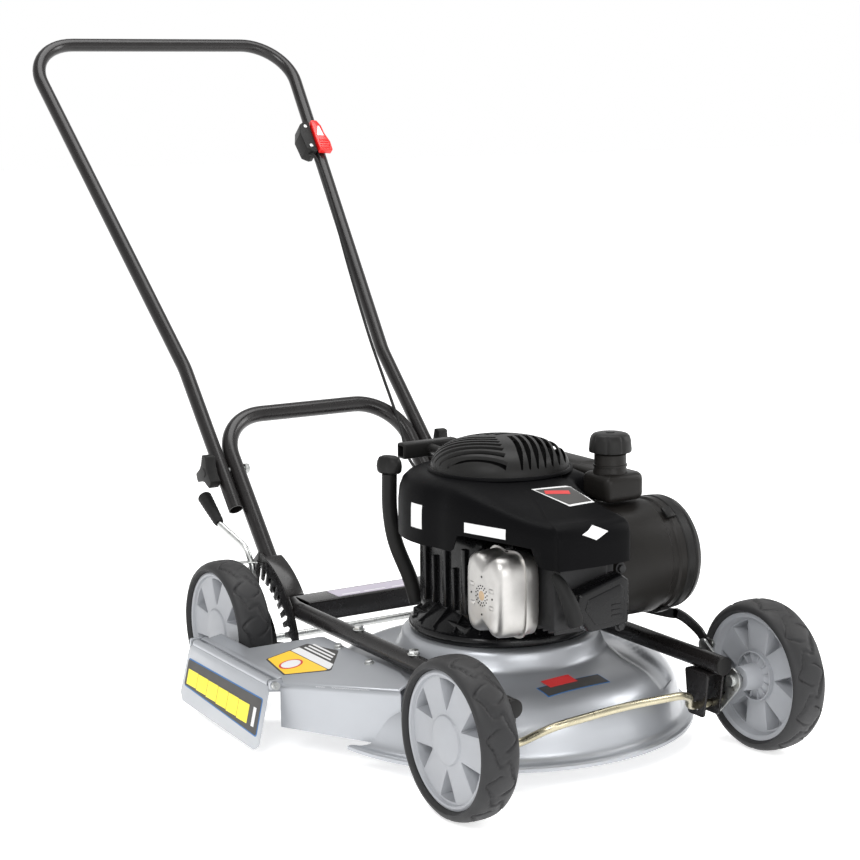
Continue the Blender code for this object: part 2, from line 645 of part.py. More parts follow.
def make_chute():
    wheel_corner = (CHUTE_WHEEL_SIDE_X, CHUTE_WHEEL_FRONT_Y)
    outline = [(CHUTE_INNER_X, 0.236), (-0.190, 0.190), CHUTE_FRONT, CHUTE_CORNER, CHUTE_BACK,
               (CHUTE_WHEEL_SIDE_X, CHUTE_BACK[1]), wheel_corner, CHUTE_ROOT, (CHUTE_INNER_X, 0.440)]
    chute = new_object("discharge_chute", under_chute(outline, CHUTE_FLOOR_Z, 0.0), "silver_paint")
    wall = SHEET
    front = beside(CHUTE_FRONT, CHUTE_CORNER, -wall, before=0.100)
    rear = beside(wheel_corner, CHUTE_ROOT, -wall, after=0.100)
    outside_x = CHUTE_MOUTH_X - 0.03
    side_x = CHUTE_WHEEL_SIDE_X - wall
    inside = [(-0.10, front[0][1]), *front, (outside_x, front[1][1]), (outside_x, CHUTE_BACK[1] - wall),
              (side_x, CHUTE_BACK[1] - wall), (side_x, rear[0][1]), *rear[1:], (-0.10, rear[1][1])]
    cut(chute, new_object("chute_inside", under_chute(inside, CHUTE_FLOOR_Z - 0.02, 0.002), helper=True))
    for index, y in enumerate((FLAP_PIN_Y[0] - 0.010, FLAP_PIN_Y[1] + 0.006)):
        low = (FLAP_PIN[0] - 0.006, y, FLAP_PIN[1] - 0.006)
        high = (CHUTE_MOUTH_X + 0.006, y + 0.004, FLAP_PIN[1] + 0.006)
        combine(chute, helper_box(f"flap_lug_{index}", low, high))
    cut(chute, helper_rod("flap_lug_bore", (FLAP_PIN[0], 0.30, FLAP_PIN[1]),
                          (FLAP_PIN[0], 0.65, FLAP_PIN[1]), 0.0034))
    return chute


def make_flap():
    x, z = FLAP_PIN
    low, high = FLAP_PIN_Y
    pin = new_object("chute_flap_pin", cylinder_mesh((x, low - 0.016, z), (x, high + 0.013, z), 0.0030, 8),
                     "zinc")
    combine(pin, helper_rod("pin_head", (x, low - 0.018, z), (x, low - 0.0110, z), 0.0052, 8))
    out = Vector((-math.sin(FLAP_TILT), 0, -math.cos(FLAP_TILT)))
    thick = Vector((math.cos(FLAP_TILT), 0, -math.sin(FLAP_TILT))) * 0.0016
    face = [(low - 0.004, 0.012), (low + 0.002, 0.004), (high - 0.002, 0.004), (high + 0.005, 0.012),
            (high + 0.012, 0.074), (high + 0.002, 0.084), (low - 0.002, 0.092), (low - 0.008, 0.084)]
    bm = bmesh.new()
    base = Vector((x, 0, z)) - thick * 3.4
    rings = []
    for shift in (Vector((0, 0, 0)), thick):
        rings.append([bm.verts.new(base + out * drop + Vector((0, y, 0)) + shift) for y, drop in face])
    ring_faces(bm, rings)
    flap = new_object("chute_flap", bm, "silver_paint")
    combine(flap, helper_rod("flap_sleeve", (x, low, z), (x, high, z), 0.0062, 12))
    cut(flap, helper_rod("flap_bore", (x, low - 0.03, z), (x, high + 0.03, z), 0.0034, 12))


def make_bolts():
    """Hexagon bolts down through the rails and the deck."""
    top = RAIL_Z + RAIL_RADIUS + GAP
    for index, (side, y) in enumerate(((RIGHT, 0), (RIGHT, 1), (LEFT, 0), (LEFT, 1))):
        x, y = side * RAIL_X, RAIL_BOLT_Y[y]
        bolt = new_object(f"rail_bolt_{index + 1}", cylinder_mesh((x, y, top), (x, y, top + 0.0065),
                                                                  0.0075, 6), "zinc")
        combine(bolt, helper_rod(f"rail_bolt_shank_{index}", (x, y, -0.004), (x, y, top + 0.003), 0.0030, 8))


# ---------------------------------------------------------------- engine
def engine_box(name, low, high, slot=None, bevel=0.0, segments=1):
    made = new_object(name, box_mesh(low, high), slot, helper=slot is None)
    if bevel:
        rounded(made, bevel, segments, 60)
    return made


def make_crankcase():
    flange = [(0.0, PAD_Z + GAP), (0.118, PAD_Z + GAP), (0.125, PAD_Z + 0.003), (0.125, 0.055),
              (0.112, 0.064),
              (0.080, 0.080), (0.0, 0.080)]
    case = new_object("crankcase", turned_mesh(flange, ENGINE_AXIS, "Z", 32), "gloss_black")
    combine(case, engine_box("case_body", (-0.088, 0.192, 0.060), (0.072, 0.345, 0.190), bevel=0.018,
                             segments=2))
    cut(case, engine_box("case_inside", (-0.076, 0.204, 0.030), (0.060, 0.333, 0.180)))
    cut(case, helper_rod("case_bore", ENGINE_AXIS + Vector((0, 0, 0.15)),
                         ENGINE_AXIS + Vector((0, 0, 0.20)), 0.0136))
    return case


def make_cylinder():
    core = engine_box("cylinder", (-0.058, 0.058, 0.086), (0.032, 0.1917, 0.170), "aluminium", 0.006)
    for fin in range(4):
        y = 0.078 + fin * 0.026
        combine(core, engine_box(f"fin_{fin}", (-0.066, y, 0.082), (0.040, y + 0.006, 0.174)))
    return core


def make_blower_housing():
    """The engine's top cover: a sheet from its skirt over its shoulder to the round air inlet."""
    plan = [(-0.078, 0.036), (-0.064, 0.022), (0.024, 0.022), (0.042, 0.040), (0.042, 0.174), (0.098, 0.187)]
    plan += arc((0.0, DECK_Y), 0.138, 45, 200, 11)
    plan += [(-0.124, 0.180), (-0.100, 0.100)]

    def forward(y):
        return min(max((0.17 - y) / 0.14, 0.0), 1.0)

    def skirt(x, y):
        beside_muffler = x < -0.05 and 0.06 < y < 0.30
        return 0.205 if beside_muffler else 0.172

    def ring(bm, scale, height, drop, wall=0.0):
        """Points above the plan, scaled about the crank axis; no height means the skirt's edge."""
        made = []
        for x, y in plan:
            out = Vector((x, y - DECK_Y))
            spot = out * scale - out.normalized() * wall
            z = skirt(x, y) if height is None else height - drop * forward(y)
            made.append(bm.verts.new((spot.x, spot.y + DECK_Y, z)))
        return made

    def inlet(bm, height):
        ring_points = [Vector((x, y - DECK_Y)).normalized() * 0.074 for x, y in plan]
        return [bm.verts.new((p.x, p.y + DECK_Y, height)) for p in ring_points]

    bm = bmesh.new()
    sheet = 0.0025
    rings = [ring(bm, 1.0, None, 0.0), ring(bm, 0.995, 0.225, 0.008), ring(bm, 0.95, 0.248, 0.020),
             ring(bm, 0.82, 0.2610, 0.024), inlet(bm, 0.2612), inlet(bm, 0.2612 - sheet),
             ring(bm, 0.82, 0.2610 - sheet, 0.024), ring(bm, 0.95, 0.248 - sheet, 0.020, sheet),
             ring(bm, 0.995, 0.225 - sheet, 0.008, sheet), ring(bm, 1.0, None, 0.0, sheet)]
    ring_faces(bm, rings, closed_path=True)
    return new_object("blower_housing", bm, "satin_black")


def make_recoil_cover():
    profile = [(0.0, 0.304), (0.040, 0.303), (0.072, 0.297), (0.090, 0.284), (0.0955, 0.268),
               (0.0955, 0.2618),
               (0.092, 0.2618), (0.092, 0.267), (0.087, 0.282), (0.070, 0.294), (0.040, 0.3003),
               (0.0, 0.3013)]
    new_object("recoil_cover", turned_mesh(profile, ENGINE_AXIS, "Z", 32), "satin_black")


def make_starter_grip():
    centre = Vector((-0.024, 0.412, 0.2690))
    grip = new_object("starter_grip", box_mesh(centre - Vector((0.045, 0.010, 0.011)),
                                               centre + Vector((0.045, 0.010, 0.011))),
                      "satin_black")
    rounded(grip, 0.004, 2, 60)
    cut(grip, helper_box("grip_hollow", centre - Vector((0.06, 0.006, 0.007)),
                         centre + Vector((0.06, 0.006, 0.007))))
    combine(grip, helper_rod("grip_stub", centre - Vector((0, 0.008, 0)), centre - Vector((0, 0.044, 0)),
                             0.0070, 12))


def make_muffler():
    low, high = Vector((-0.121, 0.078, 0.080)), Vector((-0.0665, 0.168, 0.192))
    muffler = engine_box("muffler", low, high, "aluminium", 0.016, 2)
    inset = Vector((0.0016, 0.0016, 0.0016))
    cut(muffler, engine_box("muffler_inside", low + inset, high - inset, bevel=0.015, segments=2))
    cut(muffler, helper_rod("muffler_inlet", (-0.080, 0.123, 0.125), (-0.060, 0.123, 0.125), 0.010))


def make_tank():
    tank = engine_box("fuel_tank", (0.1015, 0.226, 0.085), (0.150, 0.372, 0.262), "tank_plastic")
    combine(tank, engine_box("tank_bridge", (0.1025, 0.150, 0.2300), (0.148, 0.250, 0.2605)))
    combine(tank, engine_box("tank_shoulder", (0.060, 0.105, 0.2290), (0.146, 0.172, 0.2590)))
    cut(tank, engine_box("tank_inside", (0.105, 0.2295, 0.089), (0.1465, 0.3685, 0.2575)))
    cut(tank, engine_box("bridge_inside", (0.106, 0.160, 0.2335), (0.1445, 0.240, 0.2570)))
    cut(tank, engine_box("shoulder_inside", (0.064, 0.109, 0.2328), (0.1425, 0.168, 0.2555)))
    neck = Vector((0.0965, 0.148, 0.0))
    combine(tank, helper_rod("tank_neck", neck + Vector((0, 0, 0.256)), neck + Vector((0, 0, 0.290)),
                             0.0215, 20))
    cut(tank, helper_rod("neck_bore", neck + Vector((0, 0, 0.240)), neck + Vector((0, 0, 0.300)), 0.0185, 20))
    profile = [(0.0, 0.3170), (0.020, 0.3165), (0.0270, 0.3120), (0.0285, 0.2940), (0.0260, 0.2900),
               (0.0218, 0.2900),
               (0.0218, 0.3075), (0.0, 0.3075)]
    new_object("fuel_cap", turned_mesh(profile, neck, "Z", 24), "satin_black")


AIR_FILTER = (0.145, 0.146)
AIR_FILTER_FACE_X = 0.197


def make_air_filter():
    y, z = AIR_FILTER
    centre = (AIR_FILTER_FACE_X, y, z)
    floor = [(0.0, -0.0655), (0.070, -0.0655), (0.074, -0.062), (0.074, -0.0320), (0.070, -0.0320),
             (0.070, -0.0590), (0.0, -0.0590)]
    base = new_object("air_filter_base", turned_mesh(floor, centre, "X", 28), "satin_black")
    duct_end = AIR_FILTER_FACE_X - 0.062
    combine(base, engine_box("intake_duct", (0.046, 0.055, 0.078), (duct_end, 0.160, 0.226), bevel=0.028,
                             segments=2))
    cut(base, engine_box("intake_inside", (0.030, 0.061, 0.084), (duct_end - 0.006, 0.180, 0.220),
                         bevel=0.022))
    shell = [(0.0, 0.0), (0.060, 0.0), (0.073, -0.0050), (0.078, -0.0140), (0.078, -0.0317),
             (0.0745, -0.0317),
             (0.0745, -0.0155), (0.070, -0.0085), (0.058, -0.0035), (0.0, -0.0035)]
    new_object("air_filter_cover", turned_mesh(shell, centre, "X", 28), "satin_black")
    element = [(0.040, -0.0587), (0.066, -0.0587), (0.066, -0.0090), (0.040, -0.0090)]
    new_object("air_filter_element", turned_mesh(element, centre, "X", 16), "filter_foam")
    carburettor = engine_box("carburettor", (0.0408, 0.085, 0.100), (0.100, 0.132, 0.152), "aluminium", 0.006)
    combine(carburettor, helper_rod("carburettor_bowl", (0.075, 0.108, 0.088), (0.075, 0.108, 0.104),
                                    0.017, 12))


def make_engine_fittings():
    cover = [(-0.042, 0.118), (-0.036, 0.140), (0.030, 0.158), (0.040, 0.150), (0.040, 0.092),
             (-0.020, 0.088)]
    bm = bmesh.new()
    rings = [[bm.verts.new((x, y, z)) for x, z in cover] for y in (0.0575, 0.030)]
    ring_faces(bm, rings)
    rounded(new_object("valve_cover", bm, "gloss_black"), 0.004, 1, 60)
    boot = rod_mesh([(-0.062, 0.052, 0.166), (-0.056, 0.040, 0.150), (-0.052, 0.026, 0.126),
                     (-0.050, 0.020, 0.104)],
                    0.01, 10, [0.0045, 0.0065, 0.0095, 0.0105])
    new_object("spark_plug_boot", boot, "rubber")
    tube_points = [(-0.076, 0.362, 0.066), (-0.083, 0.368, 0.100), (-0.100, 0.376, 0.150),
                   (-0.106, 0.380, 0.195),
                   (-0.106, 0.380, 0.246)]
    new_object("oil_filler_tube", tube_mesh(tube_points, 0.0105, 0.0016, 10), "satin_black")
    top = Vector((-0.106, 0.380, 0.2465))
    outline = [(top.x + u, top.y + v) for u, v in
               arc((0.014, 0), 0.007, -70, 70, 2) + arc((0, 0), 0.012, 70, 110, 1) + arc((-0.014, 0),
                                                                                         0.007, 110, 250, 2)
               + arc((0, 0), 0.012, 250, 290, 1)]
    cap = new_object("dipstick_cap", prism_mesh(outline, top.z, top.z + 0.020), "satin_black")
    rounded(cap, 0.0025, 1, 60)
    combine(cap, helper_rod("dipstick", top + Vector((0, 0, 0.004)), top - Vector((0, 0, 0.030)), 0.0078, 10))


def make_rotor():
    """Crankshaft, flywheel, blade disc and the two swing-back blades."""
    profile = [(0.0, -0.0455), (0.011, -0.0455), (0.0125, -0.044), (0.0125, 0.236), (0.008, 0.240),
               (0.0, 0.240)]
    new_object("crankshaft", turned_mesh(profile, ENGINE_AXIS, "Z", 16), "blade_steel")
    flywheel = [(0.0128, 0.204), (0.062, 0.204), (0.068, 0.210), (0.068, 0.228), (0.061, 0.228),
                (0.059, 0.216),
                (0.026, 0.216), (0.024, 0.232), (0.0128, 0.232)]
    new_object("flywheel", turned_mesh(flywheel, ENGINE_AXIS, "Z", 28), "aluminium")
    disc = [(0.0052, -0.0500), (0.165, -0.0500), (0.168, -0.0480), (0.165, -0.0460), (0.0052, -0.0460)]
    carrier = new_object("blade_disc", turned_mesh(disc, ENGINE_AXIS, "Z", 32), "blade_steel")
    for index, side in enumerate((1, -1)):
        at = ENGINE_AXIS + Vector((0, side * BLADE_PIVOT, 0))
        combine(carrier, helper_rod(f"blade_pin_{index}", at + Vector((0, 0, -0.048)),
                                    at + Vector((0, 0, -0.0580)),
                                    0.0060, 10))
        combine(carrier, helper_rod(f"blade_pin_head_{index}", at + Vector((0, 0, -0.0552)),
                                    at + Vector((0, 0, -0.0590)), 0.0105, 10))
        outline = [(-0.018, -0.018), (0.018, -0.018), (0.020, 0.064), (0.012, 0.078), (-0.020, 0.078)]
        bm = prism_mesh([(at.x + u * side, at.y + v * side) for u, v in outline], -0.0548, -0.0504)
        blade = new_object(f"blade_{index + 1}", bm, "blade_steel")
        cut(blade, helper_rod(f"blade_hole_{index}", at + Vector((0, 0, -0.04)), at + Vector((0, 0, -0.07)),
                              0.0065, 10))
    bolt = new_object("blade_bolt", cylinder_mesh(ENGINE_AXIS + Vector((0, 0, -0.0590)),
                                                  ENGINE_AXIS + Vector((0, 0, -0.0503)), 0.0110, 6), "zinc")
    combine(bolt, helper_rod("blade_bolt_shank", ENGINE_AXIS + Vector((0, 0, -0.055)),
                             ENGINE_AXIS + Vector((0, 0, -0.0458)), 0.0048, 8))


# ---------------------------------------------------------------- assembly
def clear_scene():
    for old in list(bpy.data.objects):
        bpy.data.objects.remove(old)


def stand_on_origin():
    """Moves the assembly so that its footprint's middle is the origin, on the ground."""
    bpy.context.view_layer.update()
    graph = bpy.context.evaluated_depsgraph_get()
    raked = Matrix.Rotation(RAKE, 4, "X")
    corners = []
    for item in ROOT_OBJECTS:
        if not item.hide_render:
            evaluated = item.evaluated_get(graph)
            corners += [raked @ evaluated.matrix_world @ v.co for v in evaluated.to_mesh().vertices]
            evaluated.to_mesh_clear()
    low = Vector([min(c[i] for c in corners) for i in range(3)])
    high = Vector([max(c[i] for c in corners) for i in range(3)])
    base = bpy.data.objects.new("mower_origin", None)
    bpy.context.scene.collection.objects.link(base)
    base.rotation_euler.x = RAKE
    base.location = (-(low.x + high.x) / 2, -(low.y + high.y) / 2, -low.z)
    for item in ROOT_OBJECTS:
        item.parent = base
    print("assembly moved by", [round(v, 5) for v in base.location], "size",
          [round(v, 5) for v in high - low])


def main():
    clear_scene()
    MATERIALS.update(make_materials())
    make_chassis_tube()
    make_upper_handle()
    make_throttle()
    make_throttle_cable()
    make_cross_member()
    make_axle_plates()
    make_wheels()
    make_axles()
    make_link_rod()
    make_height_lever()
    make_deck()
    make_chute()
    make_flap()
    make_bolts()
    make_crankcase()
    make_cylinder()
    make_blower_housing()
    make_recoil_cover()
    make_starter_grip()
    make_muffler()
    make_tank()
    make_air_filter()
    make_engine_fittings()
    make_rotor()
    stand_on_origin()


main()
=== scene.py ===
import json
import math

import bmesh
import bpy
from mathutils import Matrix, Vector


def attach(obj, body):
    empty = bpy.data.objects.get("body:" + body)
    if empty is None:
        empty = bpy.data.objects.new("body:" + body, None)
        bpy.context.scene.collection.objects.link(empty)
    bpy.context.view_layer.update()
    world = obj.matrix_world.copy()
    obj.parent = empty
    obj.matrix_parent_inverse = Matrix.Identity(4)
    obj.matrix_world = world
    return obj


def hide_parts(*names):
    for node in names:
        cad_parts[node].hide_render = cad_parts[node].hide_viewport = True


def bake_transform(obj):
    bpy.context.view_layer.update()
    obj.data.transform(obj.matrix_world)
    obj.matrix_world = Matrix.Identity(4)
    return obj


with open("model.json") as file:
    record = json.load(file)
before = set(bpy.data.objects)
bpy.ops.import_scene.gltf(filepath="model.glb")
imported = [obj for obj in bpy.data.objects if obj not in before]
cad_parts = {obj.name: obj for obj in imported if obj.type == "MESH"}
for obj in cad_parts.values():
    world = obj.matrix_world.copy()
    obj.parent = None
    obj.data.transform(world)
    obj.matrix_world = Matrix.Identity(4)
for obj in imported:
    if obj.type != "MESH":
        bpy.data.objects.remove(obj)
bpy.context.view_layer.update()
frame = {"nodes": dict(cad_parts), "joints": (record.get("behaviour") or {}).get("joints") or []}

JOINTS = {joint["name"]: joint for joint in frame["joints"]}

# The mower is built in chassis coordinates, as its frame is: the origin is the middle of the
# front wheels' axle line, +X the operator's left, +Y back and +Z up, square to the rails.
CRANK_AXIS = JOINTS["crank"]["axis"]
RAKE = math.atan2(-CRANK_AXIS[1], CRANK_AXIS[2])
FRONT_WHEELS = [Vector(JOINTS[f"wheel_front_{side}"]["pos_m"]) for side in ("left", "right")]
AXLE_MIDDLE = (FRONT_WHEELS[0] + FRONT_WHEELS[1]) / 2
CHASSIS = Matrix.Translation(AXLE_MIDDLE) @ Matrix.Rotation(RAKE, 4, "X")
TO_CHASSIS = CHASSIS.inverted()

RIGHT, LEFT = -1, 1
SIDES = ((RIGHT, "right"), (LEFT, "left"))
MIRROR = Matrix.Diagonal((-1, 1, 1, 1))


def joint_place(name):
    """A joint's point in chassis coordinates."""
    return TO_CHASSIS @ Vector(JOINTS[name]["pos_m"])


# ---------------------------------------------------------------- dimensions, metres
TUBE_WALL = 0.0015
CLEARANCE = 0.0003
DECK_SHEET = 0.0018
CHUTE_SHEET = 0.0020
COVER_SHEET = 0.0022
STICKER = 0.0003
TYRE_RADIUS = 0.100
TYRE_WIDTH = 0.053
TYRE_MIDDLE_X = 0.2372
RIM_RADIUS = 0.085
RAIL_X = 0.164
RAIL_Z = 0.025
RAIL_RADIUS = 0.0125
RAIL_FRONT_Y = -0.008
HANDLE_RADIUS = 0.011
LEG_ANGLE = math.radians(46.6)
LEG_FOOT_Y = 0.584
LOOP_TOP_Z = 0.269
LOOP_HALF_WIDTH = 0.1560
HANDLE_TOP_Y = 1.343
HANDLE_TOP_Z = 0.845
HANDLE_TOP_HALF = 0.2477
HANDLE_BEND_Y = 0.882
HANDLE_END_Y = 0.7010
KNOB_FROM_END = 0.070
SIDE_OFFSET = RAIL_RADIUS + HANDLE_RADIUS + 0.001

DECK_Y = 0.266
DECK_RIM_RADIUS = 0.2632
DECK_RIM_Z = -0.0765
PAD_Z = 0.043
ARM_X = 0.184
ARM_SHEET = 0.004
BORE_RADIUS = 0.0056
LINK_LUG = (0.029, 0.070)
CHUTE_SLOPE = 0.17
CHUTE_TOP_Z = 0.0125
CHUTE_INNER_X = -0.1795
CHUTE_MOUTH_X = -0.302
CHUTE_FLOOR_Z = -0.068
FLAP_PIN = (-0.3095, -0.0100)
FLAP_PIN_Y = (0.352, 0.582)
FLAP_TILT = math.radians(13)
ENGINE_AXIS = Vector((0.0, DECK_Y, 0.0))
AIR_FILTER = Vector((0.197, 0.145, 0.146))
FUEL_NECK = Vector((0.0965, 0.148, 0.0))
FRONT_WHEEL = Vector((0.0, 0.0, 0.0))
REAR_WHEEL = Vector((0.0, *joint_place("wheel_rear_left").yz))
WHEELS = (("front", FRONT_WHEEL), ("rear", REAR_WHEEL))
FRONT_PIVOT = joint_place("front_axle")
REAR_PIVOT = joint_place("height")


# ---------------------------------------------------------------- materials
def link(tree, start, end):
    tree.links.new(start, end)


def add_node(tree, kind, **settings):
    node = tree.nodes.new(kind)
    for key, value in settings.items():
        if key in node.inputs:
            node.inputs[key].default_value = value
        else:
            setattr(node, key, value)
    return node


def noise(tree, coordinates, scale, detail=3.0, rough=0.5):
    made = add_node(tree, "ShaderNodeTexNoise", Scale=scale, Detail=detail, Roughness=rough)
    link(tree, coordinates, made.inputs["Vector"])
    return made.outputs["Fac"]


def ranged(tree, value, low, high, start=0.3, end=0.7):
    made = add_node(tree, "ShaderNodeMapRange")
    made.inputs["From Min"].default_value = start
    made.inputs["From Max"].default_value = end
    made.inputs["To Min"].default_value = low
    made.inputs["To Max"].default_value = high
    link(tree, value, made.inputs["Value"])
    return made.outputs["Result"]


def bumped(tree, height, distance, strength, before=None):
    made = add_node(tree, "ShaderNodeBump")
    made.inputs["Distance"].default_value = distance
    made.inputs["Strength"].default_value = strength
    link(tree, height, made.inputs["Height"])
    if before is not None:
        link(tree, before, made.inputs["Normal"])
    return made.outputs["Normal"]


def finish_of(name, colour, roughness, metallic=0.0, coat=0.0, tint=0.10, tint_scale=9.0, spread=0.06,
              grain=0.0, grain_scale=900.0, peel=0.0, peel_scale=120.0, dust_and_top_light=0.0, stretch=None, specular=0.5):
    """A procedural material: clouded colour, uneven gloss, fine grain, orange peel, and dust with painted top
    light on upward faces.
    """
    made = bpy.data.materials.new(name)
    made.use_nodes = True
    tree = made.node_tree
    shader = tree.nodes["Principled BSDF"]
    shader.inputs["Metallic"].default_value = metallic
    shader.inputs["Coat Weight"].default_value = coat
    shader.inputs["Specular IOR Level"].default_value = specular
    shader.inputs["Coat Roughness"].default_value = 0.12
    place = add_node(tree, "ShaderNodeTexCoord").outputs["Object"]
    if stretch:
        mapping = add_node(tree, "ShaderNodeMapping")
        mapping.inputs["Scale"].default_value = stretch
        link(tree, place, mapping.inputs["Vector"])
        place = mapping.outputs["Vector"]
    cloud = noise(tree, place, tint_scale, 4.0, 0.6)
    fine = noise(tree, place, grain_scale, 2.0)

    mix = add_node(tree, "ShaderNodeMix", data_type="RGBA")
    mix.inputs["A"].default_value = (*[c * (1 - tint) for c in colour], 1)
    mix.inputs["B"].default_value = (*[min(c * (1 + tint), 1) for c in colour], 1)
    shade = add_node(tree, "ShaderNodeMath", operation="MULTIPLY_ADD")
    link(tree, fine, shade.inputs[0])
    shade.inputs[1].default_value = 0.35
    link(tree, ranged(tree, cloud, -0.15, 0.80), shade.inputs[2])
    link(tree, shade.outputs[0], mix.inputs["Factor"])
    colour_out = mix.outputs["Result"]
    # a warm grey blended over upward faces: dust, and painted top light where the overhead light falls
    if dust_and_top_light:
        normal = add_node(tree, "ShaderNodeNewGeometry").outputs["Normal"]
        split = add_node(tree, "ShaderNodeSeparateXYZ")
        link(tree, normal, split.inputs[0])
        top_dust_and_light = add_node(tree, "ShaderNodeMath", operation="MULTIPLY")
        link(tree, ranged(tree, split.outputs["Z"], 0.0, dust_and_top_light, 0.4, 1.0), top_dust_and_light.inputs[0])
        link(tree, ranged(tree, noise(tree, place, 30.0, 5.0, 0.7), 0.2, 1.0), top_dust_and_light.inputs[1])
        dusty_and_top_lit = add_node(tree, "ShaderNodeMix", data_type="RGBA")
        dusty_and_top_lit.inputs["B"].default_value = (0.32, 0.30, 0.27, 1)
        link(tree, top_dust_and_light.outputs[0], dusty_and_top_lit.inputs["Factor"])
        link(tree, colour_out, dusty_and_top_lit.inputs["A"])
        colour_out = dusty_and_top_lit.outputs["Result"]
    link(tree, colour_out, shader.inputs["Base Color"])
    patchy = noise(tree, place, tint_scale * 3.1, 5.0, 0.65)
    gloss = ranged(tree, patchy, roughness - spread, roughness + spread)
    link(tree, gloss, shader.inputs["Roughness"])
    normal = None
    if peel:
        normal = bumped(tree, noise(tree, place, peel_scale, 2.0), 0.0006, peel)
    if grain:
        normal = bumped(tree, fine, 0.0002, grain, normal)
    if normal is not None:
        link(tree, normal, shader.inputs["Normal"])
    return made


FINISH = {
    "silver": finish_of("silver_paint", (0.40, 0.415, 0.44), 0.36, 0.60, coat=0.25, tint=0.05, tint_scale=5.0,
                        grain=0.12, grain_scale=2600.0, peel=0.05, peel_scale=220.0),
    "tube": finish_of("black_powder_coat", (0.010, 0.009, 0.009), 0.27, coat=0.15, tint=0.2, peel=0.10,
                      peel_scale=420.0, grain=0.06, spread=0.05, specular=0.32),
    "gloss": finish_of("gloss_black_casting", (0.005, 0.005, 0.0055), 0.26, coat=0.1, tint=0.2, peel=0.30,
                       peel_scale=260.0, spread=0.08, specular=0.20),
    "cover": finish_of("satin_black_cover", (0.0028, 0.0028, 0.0032), 0.46, tint=0.15, grain=0.30,
                       grain_scale=1500.0, spread=0.04, specular=0.04),
    "plastic": finish_of("black_moulded_plastic", (0.012, 0.0118, 0.0115), 0.42, tint=0.2, grain=0.35,
                         grain_scale=1300.0, spread=0.06, specular=0.16),
    "tank": finish_of("tank_plastic", (0.011, 0.010, 0.009), 0.40, tint=0.12, grain=0.4, grain_scale=1100.0,
                      peel=0.08, peel_scale=90.0, specular=0.18),
    "rim": finish_of("grey_rim_plastic", (0.30, 0.31, 0.33), 0.40, tint=0.05, grain=0.25, grain_scale=1700.0,
                     spread=0.05),
    # the tyres' upward faces carry dust and painted top light
    "rubber": finish_of("tyre_rubber", (0.022, 0.022, 0.023), 0.52, tint=0.15, grain=0.5, grain_scale=1500.0,
                        spread=0.08, dust_and_top_light=0.04, specular=0.26),
    "zinc": finish_of("zinc_plate", (0.55, 0.56, 0.55), 0.32, 1.0, tint=0.10, tint_scale=40.0, grain=0.15,
                      spread=0.10),
    "yellow_zinc": finish_of("yellow_zinc_plate", (0.52, 0.475, 0.34), 0.30, 1.0, tint=0.12, tint_scale=30.0,
                             grain=0.15, spread=0.10),
    "aluminium": finish_of("pressed_aluminium", (0.50, 0.49, 0.475), 0.40, 1.0, tint=0.08, tint_scale=30.0,
                           grain=0.22, peel=0.12, peel_scale=90.0, spread=0.07),
    "heat_tint": finish_of("heat_tinted_steel", (0.42, 0.31, 0.20), 0.36, 1.0, tint=0.25, tint_scale=60.0,
                           grain=0.1, spread=0.08),
    "casting": finish_of("dark_casting", (0.035, 0.035, 0.036), 0.45, 0.4, tint=0.2, peel=0.4,
                         peel_scale=200.0,
                         specular=0.16),
    "red": finish_of("red_plastic", (0.72, 0.012, 0.010), 0.30, coat=0.2, tint=0.08, grain=0.12),
    "blade": finish_of("blade_steel", (0.38, 0.38, 0.39), 0.36, 1.0, tint=0.12, grain=0.2,
                       stretch=(1.0, 1.0, 12.0)),
    "foam": finish_of("filter_foam", (0.16, 0.14, 0.08), 0.95, tint=0.3, grain=1.0, grain_scale=500.0),
    "grip": finish_of("grip_rubber", (0.013, 0.013, 0.013), 0.58, tint=0.2, grain=0.5, grain_scale=1200.0,
                      specular=0.18),
    "dark": finish_of("inner_shadow", (0.002, 0.002, 0.002), 0.9, tint=0.1, grain=0.2, specular=0.05),
    "rope": finish_of("starter_rope", (0.05, 0.05, 0.05), 0.85, tint=0.4, grain=1.0, grain_scale=900.0,
                      specular=0.2),
    "label_yellow": finish_of("label_yellow", (0.93, 0.77, 0.02), 0.38, tint=0.03),
    "label_amber": finish_of("label_amber", (0.92, 0.55, 0.03), 0.38, tint=0.03),
    "label_grey": finish_of("label_grey", (0.050, 0.048, 0.046), 0.42, tint=0.04, specular=0.3),
    "label_blue": finish_of("label_blue", (0.03, 0.14, 0.36), 0.40, tint=0.04, specular=0.3),
    "label_white": finish_of("label_white", (0.72, 0.72, 0.72), 0.40, tint=0.02),
    "label_red": finish_of("label_red", (0.55, 0.03, 0.03), 0.40, tint=0.04),
    "label_pale": finish_of("label_pale", (0.46, 0.42, 0.50), 0.40, tint=0.04),
}


# ---------------------------------------------------------------- mesh helpers
def ring_faces(bm, rings, close_ends=True, closed_path=False):
    count = len(rings)
    for index in range(count if closed_path else count - 1):
        first, second = rings[index], rings[(index + 1) % count]
        size = len(first)
        for k in range(size):
            bm.faces.new((first[k], first[(k + 1) % size], second[(k + 1) % size], second[k]))
    if close_ends and not closed_path:
        bm.faces.new(rings[0])
        bm.faces.new(rings[-1])
    return bm


def arc(centre, radius, start, end, steps):
    angles = [math.radians(start + (end - start) * k / steps) for k in range(steps + 1)]
    return [(centre[0] + radius * math.cos(a), centre[1] + radius * math.sin(a)) for a in angles]


def frames_along(points):
    """Two directions across the path at each point, carried along without twist."""
    frames = []
    side = None
    for index in range(len(points)):
        tangent = (points[min(index + 1, len(points) - 1)] - points[max(index - 1, 0)]).normalized()
        if side is None:
            guess = Vector((0, 0, 1)) if abs(tangent.z) < 0.9 else Vector((1, 0, 0))
            side = tangent.cross(guess).normalized()
        side = (side - tangent * side.dot(tangent)).normalized()
        frames.append((side.copy(), tangent.cross(side)))
    return frames


